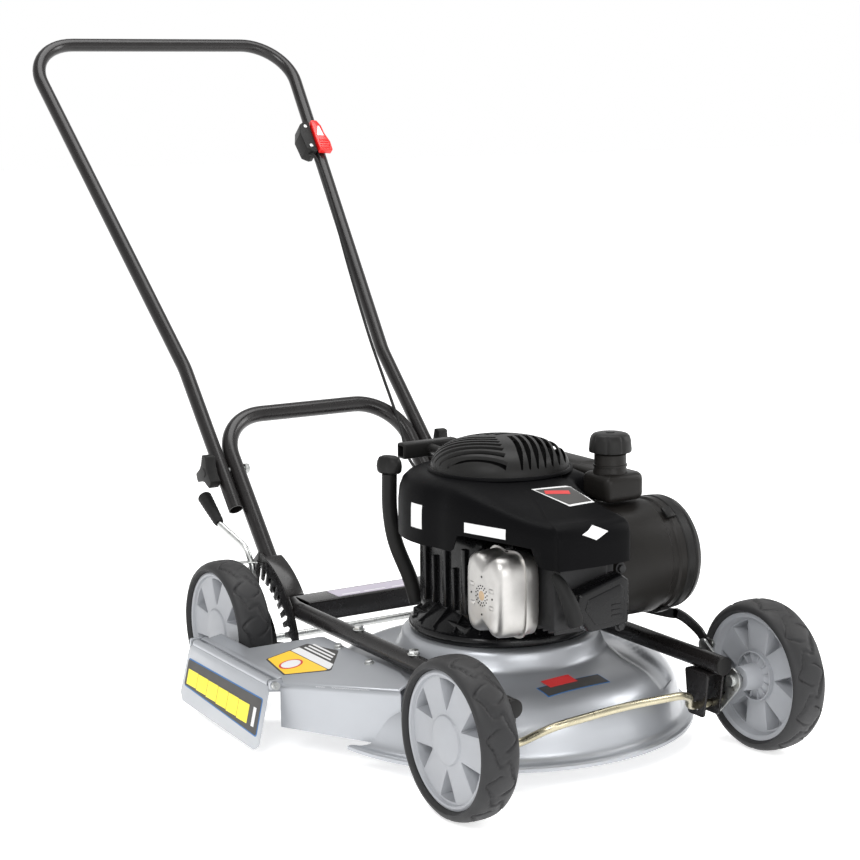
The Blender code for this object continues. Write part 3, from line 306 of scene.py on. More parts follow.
def section_rings(bm, points, sizes, sides):
    """Rings of vertices round each point of a route."""
    angles = [2 * math.pi * k / sides for k in range(sides)]
    return [[bm.verts.new(point + side * math.cos(a) * size + up * math.sin(a) * size) for a in angles]
            for point, (side, up), size in zip(points, frames_along(points), sizes)]


def sweep(points, radius, sides=24, radii=None):
    """A solid bar along a route; radii gives a radius for each point."""
    points = [Vector(p) for p in points]
    bm = bmesh.new()
    return ring_faces(bm, section_rings(bm, points, radii or [radius] * len(points), sides))


def pipe(points, radius, wall, sides=28):
    """An open-ended tube along a route."""
    points = [Vector(p) for p in points]
    bm = bmesh.new()
    shells = []
    for size in (radius, radius - wall):
        shells.append(section_rings(bm, points, [size] * len(points), sides))
        ring_faces(bm, shells[-1], close_ends=False)
    for end in (0, -1):
        ring_faces(bm, [shells[0][end], shells[1][end]], close_ends=False)
    return bm


def fillet(corner, before, after, radius, steps):
    """The arc that rounds a corner between two neighbours."""
    to_before, to_after = (before - corner).normalized(), (after - corner).normalized()
    half = to_before.angle(to_after) / 2
    reach = radius / math.tan(half)
    start, end = corner + to_before * reach, corner + to_after * reach
    centre = corner + (to_before + to_after).normalized() * (radius / math.sin(half))
    first, last = start - centre, end - centre
    turn = first.angle(last)
    return [centre + first * math.sin((1 - k / steps) * turn) / math.sin(turn)
            + last * math.sin(k / steps * turn) / math.sin(turn) for k in range(steps + 1)]


def route(corners, radii, steps=14):
    """A path through corners, with every inner corner rounded."""
    corners = [Vector(c) for c in corners]
    points = [corners[0]]
    for index in range(1, len(corners) - 1):
        points += fillet(corners[index], corners[index - 1], corners[index + 1], radii[index - 1], steps)
    return [*points, corners[-1]]


def smooth_route(points, per_span=8, closed=False):
    """Points read from a smooth curve through the given points."""
    points = [Vector(p) for p in points]
    count = len(points)
    if closed:
        ends = [points[-1], *points, points[0], points[1]]
    else:
        ends = [points[0] * 2 - points[1], *points, points[-1] * 2 - points[-2]]
    result = []
    for index in range(1, count + 1 if closed else count):
        a, b, c, d = ends[index - 1:index + 3]
        for step in range(per_span):
            t = step / per_span
            result.append(0.5 * (2 * b + (c - a) * t + (2 * a - 5 * b + 4 * c - d) * t * t
                                 + (3 * b - a - 3 * c + d) * t * t * t))
    return result if closed else [*result, points[-1]]


def turned(profile, centre=(0, 0, 0), axis="Z", steps=72, wobble=None):
    """A closed (radius, height) profile turned about an axis; wobble scales the radius by angle."""
    bm = bmesh.new()
    centre = Vector(centre)
    turn_axis = {"X": Vector((1, 0, 0)), "Y": Vector((0, 1, 0)), "Z": Vector((0, 0, 1))}[axis]
    across = Vector((0, 0, -1)) if axis == "X" else Vector((1, 0, 0))
    columns = []
    for step in range(steps):
        angle = 2 * math.pi * step / steps
        spin = Matrix.Rotation(angle, 3, turn_axis)
        sizes = [wobble(angle, r, h) if wobble else 1.0 for r, h in profile]
        columns.append([spin @ (across * r * scale) + turn_axis * h + centre
                        for (r, h), scale in zip(profile, sizes)])
    on_axis = {i: bm.verts.new(columns[0][i]) for i, (r, _) in enumerate(profile) if r == 0}
    verts = [[on_axis.get(i) or bm.verts.new(p) for i, p in enumerate(col)] for col in columns]
    size = len(profile)
    for step in range(steps):
        first, second = verts[step], verts[(step + 1) % steps]
        for k in range(size):
            after = (k + 1) % size
            loop = list(dict.fromkeys([first[k], second[k], second[after], first[after]]))
            if len(loop) >= 3:
                bm.faces.new(loop)
    return bm


def prism(outline, low, high, plane="XY", bm=None):
    """An outline extruded along Z (XY), along X (YZ) or along Y (XZ)."""
    bm = bm or bmesh.new()
    lift = {"XY": lambda p, h: (p[0], p[1], h), "YZ": lambda p, h: (h, p[0], p[1]),
            "XZ": lambda p, h: (p[0], h, p[1])}[plane]
    return ring_faces(bm, [[bm.verts.new(lift(p, h)) for p in outline] for h in (low, high)])


def box(low, high):
    return prism(rectangle(*low[:2], *high[:2]), low[2], high[2])


def drum(radius, low, high, centre, axis="X", steps=24):
    """A plain cylinder between two heights on an axis."""
    return turned([(0.0, low), (radius, low), (radius, high), (0.0, high)], centre, axis, steps)


def moved(bm, matrix):
    bmesh.ops.transform(bm, matrix=matrix, verts=bm.verts)
    return bm


def facing(at, axis):
    """Places a mesh made along Z at a point, turned along an axis."""
    return Matrix.Translation(at) @ Vector((0, 0, 1)).rotation_difference(Vector(axis)).to_matrix().to_4x4()


def rectangle(low_x, low_y, high_x, high_y):
    return [(low_x, low_y), (high_x, low_y), (high_x, high_y), (low_x, high_y)]


def rounded_outline(corners, radius, steps=5):
    """A closed outline with every corner rounded."""
    points = [Vector((*c, 0)) for c in corners]
    result = []
    for index, corner in enumerate(points):
        before, after = points[index - 1], points[(index + 1) % len(points)]
        result += [(p.x, p.y) for p in fillet(corner, before, after, radius, steps)]
    return result


def raw_object(name, bm):
    bmesh.ops.recalc_face_normals(bm, faces=bm.faces)
    mesh = bpy.data.meshes.new(name)
    bm.to_mesh(mesh)
    bm.free()
    made = bpy.data.objects.new(name, mesh)
    bpy.context.scene.collection.objects.link(made)
    return made


def settle(made, helpers=()):
    """Replaces an object's mesh by what its modifiers make of it."""
    bpy.context.view_layer.update()
    graph = bpy.context.evaluated_depsgraph_get()
    final = bpy.data.meshes.new_from_object(made.evaluated_get(graph))
    made.modifiers.clear()
    made.data = final
    for helper in helpers:
        bpy.data.objects.remove(helper)


def piece(name, bm, paint, body="chassis", stands_for=(), smooth=35, bevel=0.0, segments=2, cut=(), join=(),
          subdivide=0,
          bevel_angle=40):
    """A finished piece of the visual model, from a mesh in chassis coordinates."""
    made = raw_object(name, bm)
    helpers = []
    for operation, meshes in (("UNION", join), ("DIFFERENCE", cut)):
        for tool_mesh in meshes:
            tool = raw_object("tool", tool_mesh)
            helpers.append(tool)
            modifier = made.modifiers.new("shape", "BOOLEAN")
            modifier.operation = operation
            modifier.object = tool
    if bevel:
        edge = made.modifiers.new("edges", "BEVEL")
        edge.width = bevel
        edge.segments = segments
        edge.limit_method = "ANGLE"
        edge.angle_limit = math.radians(bevel_angle)
        edge.use_clamp_overlap = True
    if subdivide:
        finer = made.modifiers.new("finer", "SUBSURF")
        finer.levels = finer.render_levels = subdivide
    if made.modifiers:
        settle(made, helpers)
    return adopt(made, paint, body, stands_for, smooth)


def adopt(made, paint, body="chassis", stands_for=(), smooth=35):
    """Moves a piece from chassis coordinates to its place, and gives it its finish and its body."""
    made.data.transform(CHASSIS)
    made.data.shade_smooth()
    made.data.set_sharp_from_angle(angle=math.radians(smooth))
    made.data.materials.clear()
    made.data.materials.append(FINISH[paint])
    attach(made, body)
    if stands_for:
        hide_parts(*stands_for)
    return made


def hex_bolt(name, at, axis, across=0.0065, height=0.0055, paint="zinc", washer=0.0085):
    """A flanged hexagon head, with its washer, whose underside is at a point."""
    bm = prism(arc((0, 0), across * 1.12, 0, 300, 5), 0.0011, height)
    prism(arc((0, 0), washer, 0, 345, 23), 0.0, 0.0013, bm=bm)
    return piece(name, moved(bm, facing(at, axis)), paint, bevel=0.0006)


# ---------------------------------------------------------------- camera, light and floor
CAMERA_PLACE = Vector((-1.4543, -1.9236, 0.7655))
CAMERA_TURN = math.radians(31.5476)
CAMERA_PITCH = math.radians(9.7627)
CAMERA_ROLL = math.radians(-0.5794)
CAMERA_LENS = 83.054
FLOOR_REACH = 30.0


def make_camera():
    forward = Vector((math.sin(CAMERA_TURN) * math.cos(CAMERA_PITCH),
                      math.cos(CAMERA_TURN) * math.cos(CAMERA_PITCH), -math.sin(CAMERA_PITCH)))
    level = Vector((math.cos(CAMERA_TURN), -math.sin(CAMERA_TURN), 0))
    upright = level.cross(forward)
    right = level * math.cos(CAMERA_ROLL) + upright * math.sin(CAMERA_ROLL)
    up = upright * math.cos(CAMERA_ROLL) - level * math.sin(CAMERA_ROLL)
    turn = Matrix((right, up, -forward)).transposed().to_4x4()
    turn.translation = CAMERA_PLACE
    data = bpy.data.cameras.new("camera")
    data.lens = CAMERA_LENS
    data.sensor_width = 36.0
    made = bpy.data.objects.new("camera", data)
    bpy.context.scene.collection.objects.link(made)
    made.matrix_world = CHASSIS @ turn
    bpy.context.scene.camera = made


def make_light(name, place, target, size, power):
    data = bpy.data.lights.new(name, "AREA")
    data.shape = "RECTANGLE"
    data.size, data.size_y = size
    data.energy = power
    made = bpy.data.objects.new(name, data)
    bpy.context.scene.collection.objects.link(made)
    made.location = place
    made.rotation_mode = "QUATERNION"
    made.rotation_quaternion = (Vector(target) - Vector(place)).to_track_quat("-Z", "Y")


def make_stage():
    world = bpy.data.worlds.new("studio")
    bpy.context.scene.world = world
    world.use_nodes = True
    back = world.node_tree.nodes["Background"]
    back.inputs["Color"].default_value = (1.0, 1.0, 1.0, 1.0)
    split = add_node(world.node_tree, "ShaderNodeSeparateXYZ")
    link(world.node_tree, add_node(world.node_tree, "ShaderNodeTexCoord").outputs["Generated"],
         split.inputs[0])
    overhead = ranged(world.node_tree, split.outputs["Z"], 1.0, 0.50, 0.15, 0.60)
    link(world.node_tree, overhead, back.inputs["Strength"])
    bm = bmesh.new()
    bm.faces.new([bm.verts.new((*p, 0))
                  for p in rectangle(-FLOOR_REACH, -FLOOR_REACH, FLOOR_REACH, FLOOR_REACH)])
    floor = raw_object("floor", bm)
    pale = bpy.data.materials.new("pale_floor")
    pale.use_nodes = True
    shader = pale.node_tree.nodes["Principled BSDF"]
    shader.inputs["Base Color"].default_value = (0.90, 0.90, 0.90, 1)
    shader.inputs["Roughness"].default_value = 0.9
    shader.inputs["Emission Color"].default_value = (1, 1, 1, 1)
    shader.inputs["Emission Strength"].default_value = 0.60
    floor.data.materials.append(pale)
    make_light("key", (-2.2, -2.0, 2.6), (0, -0.2, 0.3), (1.6, 1.6), 55)
    make_light("top", (0.3, 0.2, 2.8), (0, -0.1, 0.2), (2.2, 1.6), 45)
    make_light("side", (2.4, -1.2, 1.6), (0, -0.2, 0.3), (0.8, 1.8), 30)
    make_light("front", (-0.4, -3.2, 0.9), (0, -0.3, 0.2), (1.8, 0.7), 18)
    bpy.context.scene.view_settings.view_transform = "Standard"


# ---------------------------------------------------------------- tubes and handle
def leg_point(along, side, offset=0.0):
    leg_length = (LOOP_TOP_Z - RAIL_Z) / math.sin(LEG_ANGLE)
    x = RAIL_X - (RAIL_X - LOOP_HALF_WIDTH) / leg_length * along + offset
    return Vector((side * x, LEG_FOOT_Y + along * math.cos(LEG_ANGLE), RAIL_Z + along * math.sin(LEG_ANGLE)))


HANDLE_END_ALONG = (HANDLE_END_Y - LEG_FOOT_Y) / math.cos(LEG_ANGLE)
HANDLE_BEND_ALONG = (HANDLE_BEND_Y - LEG_FOOT_Y) / math.cos(LEG_ANGLE)
KNOB_ALONG = HANDLE_END_ALONG + KNOB_FROM_END
LOOP_ALONG = (LOOP_TOP_Z - RAIL_Z) / math.sin(LEG_ANGLE)


def make_tubes():
    corners = [(-RAIL_X, RAIL_FRONT_Y, RAIL_Z), leg_point(0, RIGHT), leg_point(LOOP_ALONG, RIGHT),
               leg_point(LOOP_ALONG, LEFT), leg_point(0, LEFT), (RAIL_X, RAIL_FRONT_Y, RAIL_Z)]
    piece("frame_tube", pipe(route(corners, [0.09, 0.075, 0.075, 0.09]), RAIL_RADIUS, TUBE_WALL), "tube",
          "chassis", ["chassis_tube"])
    corners = []
    for side in (RIGHT, LEFT):
        leg = [leg_point(HANDLE_END_ALONG, side, SIDE_OFFSET),
               leg_point(HANDLE_BEND_ALONG, side, SIDE_OFFSET),
               Vector((side * HANDLE_TOP_HALF, HANDLE_TOP_Y, HANDLE_TOP_Z))]
        corners += leg if side == RIGHT else leg[::-1]
    piece("handle_tube", pipe(route(corners, [0.15, 0.08, 0.08, 0.15]), HANDLE_RADIUS, TUBE_WALL), "tube",
          "upper_handle", ["upper_handle"])
    plug = [(0.0, -0.0042), (0.008, -0.0040), (0.0115, -0.0030), (RAIL_RADIUS, -0.0014),
            (RAIL_RADIUS, -0.0003), (0.0105, -0.0003), (0.0105, 0.010), (0.0, 0.010)]
    for side, name in SIDES:
        piece(f"rail_end_{name}", turned(plug, (side * RAIL_X, RAIL_FRONT_Y, RAIL_Z), "Y", 40), "plastic",
              "chassis", [f"tube_plug_{name}"])
    for side, name in SIDES:
        bend = leg_point(HANDLE_BEND_ALONG, side, SIDE_OFFSET)
        top = Vector((side * HANDLE_TOP_HALF, HANDLE_TOP_Y, HANDLE_TOP_Z))
        away = Vector((side, 0, 0))
        for index, share in enumerate((0.28, 0.72)):
            spot = bend.lerp(top, share) - away * HANDLE_RADIUS * 0.999
            # near-black discs in the handle's holes: painted shade
            hole = turned([(0.0, 0.0), (0.0028, 0.0), (0.0034, -0.0008), (0.0, -0.0008)], steps=20)
            piece(f"handle_hole_shade_{name}_{index}", moved(hole, facing(spot, -away)), "dark", "upper_handle")


def make_knobs():
    for side, name in SIDES:
        at = leg_point(KNOB_ALONG, side)
        outer_x = abs(at.x) + SIDE_OFFSET + HANDLE_RADIUS
        lobes = []
        for lobe in range(3):
            start = lobe * 120 - 25
            lobes += arc((at.y, at.z), 0.0272, start - 15, start + 15, 5)
            lobes += arc((at.y, at.z), 0.0140, start + 46, start + 74, 4)
        near, far = outer_x + 0.0035, outer_x + 0.0200
        knob = prism(lobes, side * near, side * far, "YZ")
        neck = turned([(0.0, near + 0.006), (0.0, outer_x + 0.0005), (0.0100, outer_x + 0.0005),
                       (0.0112, near + 0.006)], (0, at.y, at.z), "X", 32)
        if side == RIGHT:
            moved(neck, MIRROR)
        piece(f"wing_knob_{name}", knob, "plastic", f"knob_{name}", [f"handle_knob_{name}"], join=[neck],
              bevel=0.0022, segments=3)
        boss = turned([(0.0, 0.0), (0.0075, 0.0), (0.0068, 0.0012), (0.0, 0.0014)], steps=28)
        place = facing((side * far, at.y, at.z), (side, 0, 0))
        piece(f"knob_button_{name}", moved(boss, place), "plastic", f"knob_{name}")


def throttle_matrix():
    bend = leg_point(HANDLE_BEND_ALONG, LEFT, SIDE_OFFSET)
    along = (Vector((HANDLE_TOP_HALF, HANDLE_TOP_Y, HANDLE_TOP_Z)) - bend).normalized()
    across = Vector((1, 0, 0))
    across = (across - along * across.dot(along)).normalized()
    made = Matrix((across, along, across.cross(along))).transposed().to_4x4()
    made.translation = bend + along * 0.452
    return made


def make_throttle():
    place = throttle_matrix()

    def put(bm):
        return moved(bm, place)

    shell = [(-0.032, -0.030), (-0.036, 0.004), (-0.030, 0.026), (-0.020, 0.034), (-0.0118, 0.034),
             (-0.0118, -0.034), (-0.020, -0.036)]
    piece("throttle_box", put(prism(rounded_outline(shell, 0.003), -0.010, 0.020)), "plastic", "upper_handle",
          ["throttle_housing"], bevel=0.0022, segments=3)
    for index, y in enumerate((-0.024, 0.020)):
        screw = turned([(0.0, 0.0200), (0.0036, 0.0200), (0.0032, 0.0218), (0.0, 0.0221)], (-0.022, y, 0),
                       "Z", 24)
        piece(f"throttle_screw_{index}", put(screw), "zinc", "upper_handle")
    lever = [(-0.010, 0.033), (0.002, 0.034), (0.008, 0.022), (0.010, 0.004), (0.016, -0.014),
             (0.016, -0.034),
             (-0.008, -0.034), (-0.010, -0.010)]
    piece("throttle_paddle", put(prism(rounded_outline(lever, 0.0025), 0.0122, 0.024)), "red",
          "throttle_lever",
          ["throttle_lever"], bevel=0.0020, segments=3)
    ridge = prism(rounded_outline([(-0.0065, -0.002), (0.0015, 0.024), (0.0065, -0.002)], 0.0012), 0.0238,
                  0.0246)
    piece("throttle_arrow", put(ridge), "label_white", "throttle_lever")
    for index in range(4):
        rib = box((-0.0055, -0.030 + index * 0.0055, 0.0238), (0.0125, -0.0275 + index * 0.0055, 0.0252))
        piece(f"throttle_rib_{index}", put(rib), "red", "throttle_lever", bevel=0.0006)


CABLE = ((0.196, 1.128, 0.644), (0.187, 1.060, 0.565), (0.172, 0.980, 0.470), (0.156, 0.890, 0.370),
         (0.148, 0.830, 0.306), (0.136, 0.760, 0.240), (0.1165, 0.700, 0.196), (0.104, 0.620, 0.170),
         (0.095, 0.540, 0.158), (0.088, 0.470, 0.146), (0.086, 0.400, 0.134), (0.086, 0.300, 0.126),
         (0.086, 0.200, 0.126), (0.086, 0.1325, 0.126))


def make_cable():
    """The throttle cable bends where the handle folds."""
    box_end = throttle_matrix() @ Vector((-0.024, -0.028, 0.004))
    made = raw_object("control_cable", sweep(smooth_route([box_end, *CABLE], 10), 0.0024, 14))
    made.data.transform(CHASSIS)
    made.data.shade_smooth()
    made.data.materials.append(FINISH["grip"])
    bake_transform(made)
    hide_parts("throttle_cable")


# ---------------------------------------------------------------- wheels
TREAD_WAVES = 11
GROOVE_DEPTH = 0.0026
SPOKES = 6
HUB_WEBS = 12
HUB_WEB = 0.0014


def tread_depth(angle, across):
    """How deep the tread's wavy grooves cut at an angle round the tyre and a place across it, -1 to 1."""
    deepest = 0.0
    for centre, sway, shift in ((-0.42, 0.34, 0.0), (0.42, 0.34, 2.2)):
        phase = TREAD_WAVES * angle + shift
        line = centre + sway * math.sin(phase + 0.75 * math.sin(phase))
        slope = sway * TREAD_WAVES * math.cos(phase) * (TYRE_WIDTH / 2) / TYRE_RADIUS
        gap = (across - line) * TYRE_WIDTH / 2 / math.sqrt(1 + slope * slope)
        deepest = max(deepest, math.exp(-(gap / 0.0015) ** 4))
    return deepest


def tyre_mesh(side, centre):
    bm = bmesh.new()
    steps, spans = 352, 34
    middle = TYRE_MIDDLE_X
    bead = RIM_RADIUS + 0.0002
    rings = []
    for step in range(steps):
        angle = 2 * math.pi * step / steps
        ring = []
        for k in range(spans + 1):
            a = math.pi * k / spans
            across = -math.copysign(abs(math.cos(a)) ** 0.62, math.cos(a))
            share = math.sin(a) ** 0.62 if 0 < k < spans else 0.0
            crown = 1.0 - 0.10 * across * across
            radius = bead + (TYRE_RADIUS - bead) * share * crown
            shoulder = 0.0004 * math.cos(TREAD_WAVES * angle) * share * abs(across) ** 3
            radius += shoulder - GROOVE_DEPTH * tread_depth(angle, across) * share
            width = TYRE_WIDTH / 2 * (0.985 if share > 0 else 0.80)
            x = side * (middle + across * width)
            ring.append(bm.verts.new((x + centre.x, centre.y + radius * math.sin(angle),
                                      centre.z - radius * math.cos(angle))))
        rings.append(ring)
    return ring_faces(bm, rings, closed_path=True)


def pocket_set(count, turn, inner_radius, outer_radius, spread, low, high, side, draft):
    """Tapered pockets between, or behind, a wheel's spokes."""
    bm = bmesh.new()
    for index in range(count):
        middle = turn + index * 360 / count
        corners = [(inner_radius, middle - 1.5), (inner_radius, middle + 1.5)]
        corners += [(outer_radius, middle + spread - 2 * spread * k / 6) for k in range(7)]
        flat = [(r * math.cos(math.radians(a)), r * math.sin(math.radians(a))) for r, a in corners]
        cx = sum(p[0] for p in flat) / len(flat)
        cy = sum(p[1] for p in flat) / len(flat)
        deep = [(cx + (p[0] - cx) * draft, cy + (p[1] - cy) * draft) for p in flat]
        rings = [[bm.verts.new((side * low, *p)) for p in deep],
                 [bm.verts.new((side * high, *p)) for p in flat]]
        ring_faces(bm, rings)
    return bm


def make_wheels():
    rim_profile = [(0.0065, 0.1985), (0.0160, 0.1985), (0.0180, 0.2240), (0.0300, 0.2275), (0.0755, 0.2290),
                   (0.0785, 0.2190), (0.0846, 0.2175), (0.0850, 0.2370), (0.0848, 0.2562), (0.0815, 0.2580),
                   (0.0788, 0.2572), (0.0775, 0.2530), (0.0310, 0.2545), (0.0296, 0.2567), (0.0275, 0.2573),
                   (0.0, 0.2573), (0.0, 0.2515), (0.0065, 0.2515)]
    for side, side_name in SIDES:
        profile = [(r, side * h) for r, h in rim_profile]
        outer = pocket_set(SPOKES, 30, 0.0345, 0.0760, 14.5, 0.2345, 0.2700, side, 0.80)
        inner = pocket_set(SPOKES, 0, 0.0335, 0.0735, 14.0, 0.2490, 0.2100, side, 0.90)
        for end, centre in WHEELS:
            name = f"{end}_{side_name}"
            place = Matrix.Translation(centre)
            rim, *tools = (moved(bm, place)
                           for bm in (turned(profile, axis="X", steps=120), outer.copy(), inner.copy()))
            piece(f"wheel_rim_{name}", rim, "rim", f"wheel_{name}", [f"rim_{name}"], cut=tools, bevel=0.0008,
                  bevel_angle=32)
            tread = raw_object(f"wheel_tyre_{name}", tyre_mesh(side, centre))
            adopt(tread, "rubber", f"wheel_{name}", [f"tyre_{name}"], 60)
        outer.free()
        inner.free()


def make_hubs():
    """The ring and webs round each hub on the wheel's inner face."""
    for side, side_name in SIDES:
        for end, centre in WHEELS:
            body = f"wheel_{end}_{side_name}"
            ring = [(0.0315, side * 0.2210), (0.0335, side * 0.2210), (0.0340, side * 0.2292),
                    (0.0310, side * 0.2292)]
            piece(f"hub_ring_{end}_{side_name}", turned(ring, centre, "X", 64), "rim", body)
            webs = bmesh.new()
            for index in range(HUB_WEBS):
                angle = math.radians(360 / HUB_WEBS * (index + 0.5))
                place = Matrix.Translation(centre) @ Matrix.Rotation(angle, 4, "X")
                low, high = sorted((side * 0.2230, side * 0.2285))
                web = box((low, -HUB_WEB / 2, 0.0165), (high, HUB_WEB / 2, 0.0325))
                mesh = bpy.data.meshes.new("web")
                moved(web, place).to_mesh(mesh)
                web.free()
                webs.from_mesh(mesh)
            piece(f"hub_webs_{end}_{side_name}", webs, "rim", body)


# ---------------------------------------------------------------- axles and height adjustment
def arm_plate(pivot, wheel, lug):
    away = math.degrees(math.atan2(wheel.z - pivot.z, wheel.y - pivot.y))
    points = arc(wheel.yz, 0.017, away - 80, away + 80, 14)
    points += arc(pivot.yz, 0.014, away + 100, away + 260 if not lug else away + 230, 14)
    if lug:
        points += arc((pivot.y + LINK_LUG[0], pivot.z + LINK_LUG[1]), 0.009, -10, 150, 10)
    return points


def make_axles():
    end_x = ARM_X + ARM_SHEET
    for end, pivot, wheel in (("front", FRONT_PIVOT, FRONT_WHEEL), ("rear", REAR_PIVOT, REAR_WHEEL)):
        y, z = pivot.y, pivot.z
        points = [(-end_x, y, z), (end_x, y, z)]
        paint = "zinc"
        if end == "front":
            middle = [(-0.132, y, z), (-0.104, y - 0.034, z + 0.026), (0.0, y - 0.046, z + 0.038),
                      (0.112, y - 0.036, z + 0.032), (0.136, y - 0.002, z + 0.001)]
            points = route([points[0], *middle, points[1]], [0.03, 0.05, 0.30, 0.05, 0.03], 10)
            paint = "yellow_zinc"
        body = f"{end}_axle"
        piece(f"{end}_axle_rod", sweep(points, 0.0052, 24), paint, body, [body])
        for side, name in SIDES:
            low, high = sorted((side * ARM_X, side * end_x))
            plate = arm_plate(pivot, wheel, side == LEFT)
            piece(f"{end}_arm_{name}", prism(plate, low, high, "YZ"), "zinc", body, bevel=0.0006)
            stub = turned([(0.0, side * (ARM_X - 0.004)), (0.0078, side * (ARM_X - 0.004)),
                           (0.0078, side * end_x),
                           (0.0060, side * (end_x + 0.002)), (0.0060, side * 0.248), (0.0, side * 0.248)],
                          wheel, "X", 32)
            piece(f"{end}_stub_{name}", stub, "zinc", body)
            if side == LEFT:
                at = (0.1855, y + LINK_LUG[0], z + LINK_LUG[1])
                pin = turned([(0.0, 0.0), (0.0040, 0.0), (0.0040, 0.0128), (0.0062, 0.0130), (0.0056, 0.0150),
                              (0.0, 0.0154)], at, "X", 24)
                piece(f"{end}_lug_pin", pin, "zinc", body)


def make_link():
    start = Vector((FRONT_PIVOT.y + LINK_LUG[0], FRONT_PIVOT.z + LINK_LUG[1]))
    end = Vector((REAR_PIVOT.y + LINK_LUG[0], REAR_PIVOT.z + LINK_LUG[1]))
    spine = [start, start + Vector((0.020, 0.016)), start + Vector((0.062, 0.028)),
             start + Vector((0.120, 0.022)),
             Vector((end.x - 0.060, end.y)), end]
    spine = smooth_route([(p.x, p.y, 0) for p in spine], 10)
    x, half_wide, half_thick = 0.1915, 0.0068, 0.0018
    bm = bmesh.new()
    rings = []
    for index, point in enumerate(spine):
        ahead = spine[min(index + 1, len(spine) - 1)] - spine[max(index - 1, 0)]
        normal = Vector((-ahead.y, ahead.x)).normalized() * half_wide
        corners = [(x - half_thick, 1), (x + half_thick, 1), (x + half_thick, -1), (x - half_thick, -1)]
        rings.append([bm.verts.new((cx, point.x + normal.x * s, point.y + normal.y * s)) for cx,
                      s in corners])
    ring_faces(bm, rings)
    eyes = [drum(0.0095, x - half_thick, x + half_thick, (0, *p), steps=32) for p in (start, end)]
    holes = [drum(0.0046, x - 0.01, x + 0.01, (0, *p)) for p in (start, end)]
    piece("link_strap", bm, "tube", "link_rod", ["link_rod"], join=eyes, cut=holes, bevel=0.0005)


QUADRANT_X = RAIL_X + RAIL_RADIUS + CLEARANCE


def make_quadrant():
    """The notched height selector on the right, and the plain plate that faces it on the left."""
    y, z = REAR_PIVOT.y, REAR_PIVOT.z
    blade = [(y - 0.016, z - 0.016), (y - 0.139, z + 0.020)]
    blade += arc((y, z), 0.142, 168, 98, 30)
    blade += [(y + 0.016, z + 0.110), (y + 0.016, z - 0.016)]
    for side, name, node in ((RIGHT, "height_selector", "height_quadrant"),
                             (LEFT, "rear_plate", "rear_axle_plate_left")):
        inner, outer = side * QUADRANT_X, side * (QUADRANT_X + 0.003)
        tools = [drum(BORE_RADIUS, side * 0.16, side * 0.20, (0, y, z))]
        if side == RIGHT:
            for notch in range(9):
                angle = math.radians(102 + notch * 8)
                reach = Vector((math.cos(angle), math.sin(angle)))
                tangent = Vector((-reach.y, reach.x)) * 0.0036
                slot = [reach * 0.090 - tangent, reach * 0.119 - tangent, reach * 0.1235,
                        reach * 0.119 + tangent,
                        reach * 0.090 + tangent]
                tools.append(prism([(y + p.x, z + p.y) for p in slot], -0.20, -0.16, "YZ"))
            window = [(y + p[0], z + p[1])
                      for p in arc((0, 0), 0.104, 99, 168, 12) + arc((0, 0), 0.070, 168, 99, 12)]
            tools.append(prism(window, -0.20, -0.16, "YZ"))
        piece(name, prism(blade, inner, outer, "YZ"), "tube", "chassis", [node], cut=tools, bevel=0.0005)
        rim = arc((y, z), 0.1425, 140, 106, 24) + arc((y, z), 0.1395, 106, 140, 24)
        piece(f"{name}_flange", prism(rim, side * 0.152, side * (QUADRANT_X + 0.0036), "YZ"), "tube",
              bevel=0.0008)


def make_hangers():
    y, z = FRONT_PIVOT.y, FRONT_PIVOT.z
    top = RAIL_Z - RAIL_RADIUS - CLEARANCE
    for side, name in SIDES:
        cheeks = rounded_outline([(y - 0.024, top), (y - 0.016, z - 0.013), (y + 0.016, z - 0.013),
                                  (y + 0.024, top)],
                                 0.005)
        low, high = sorted((side * 0.150, side * 0.178))
        gap = box((low + 0.0032, y - 0.04, z - 0.04), (high - 0.0032, y + 0.04, top - 0.0032))
        hole = drum(BORE_RADIUS, 0.14, 0.19, (0, y, z))
        if side == RIGHT:
            moved(hole, MIRROR)
        piece(f"hanger_{name}", prism(cheeks, low, high, "YZ"), "tube", "chassis", [f"axle_hanger_{name}"],
              cut=[gap, hole], bevel=0.0007)


def make_lever():
    y, z = REAR_PIVOT.y, REAR_PIVOT.z
    x = ARM_X + ARM_SHEET + 0.0048
    points = route([(-x, y, z - 0.004), (-x, y - 0.008, z + 0.060), (-0.1875, y - 0.016, z + 0.118),
                    (-0.192, y - 0.004, z + 0.146), (-0.208, 0.7085, 0.1285)], [0.03, 0.03, 0.03], 10)
    piece("selector_lever", sweep(points, 0.0044, 20), "zinc", "rear_axle", ["height_lever"])
    start, end = Vector((-0.208, 0.7095, 0.1292)), Vector((-0.208, 0.7622, 0.1624))
    count = 26
    radii = [0.0072 + 0.0036 * (k / count) ** 0.8 + 0.0003 * math.cos(k * 2.1) for k in range(count + 1)]
    radii[0], radii[-1], radii[-2] = 0.0062, 0.0072, 0.0100
    piece("selector_grip", sweep([start.lerp(end, k / count) for k in range(count + 1)], 0.01, 24, radii),
          "grip",
          "rear_axle", ["lever_grip"])
    tab = [(-0.1815, 0.6330), (-0.1815, 0.6500), (-0.2080, 0.6560), (-0.2080, 0.6440)]
    piece("selector_tab", prism(rounded_outline(tab, 0.002), 0.0800, 0.0815), "zinc", "rear_axle",
          bevel=0.0004)


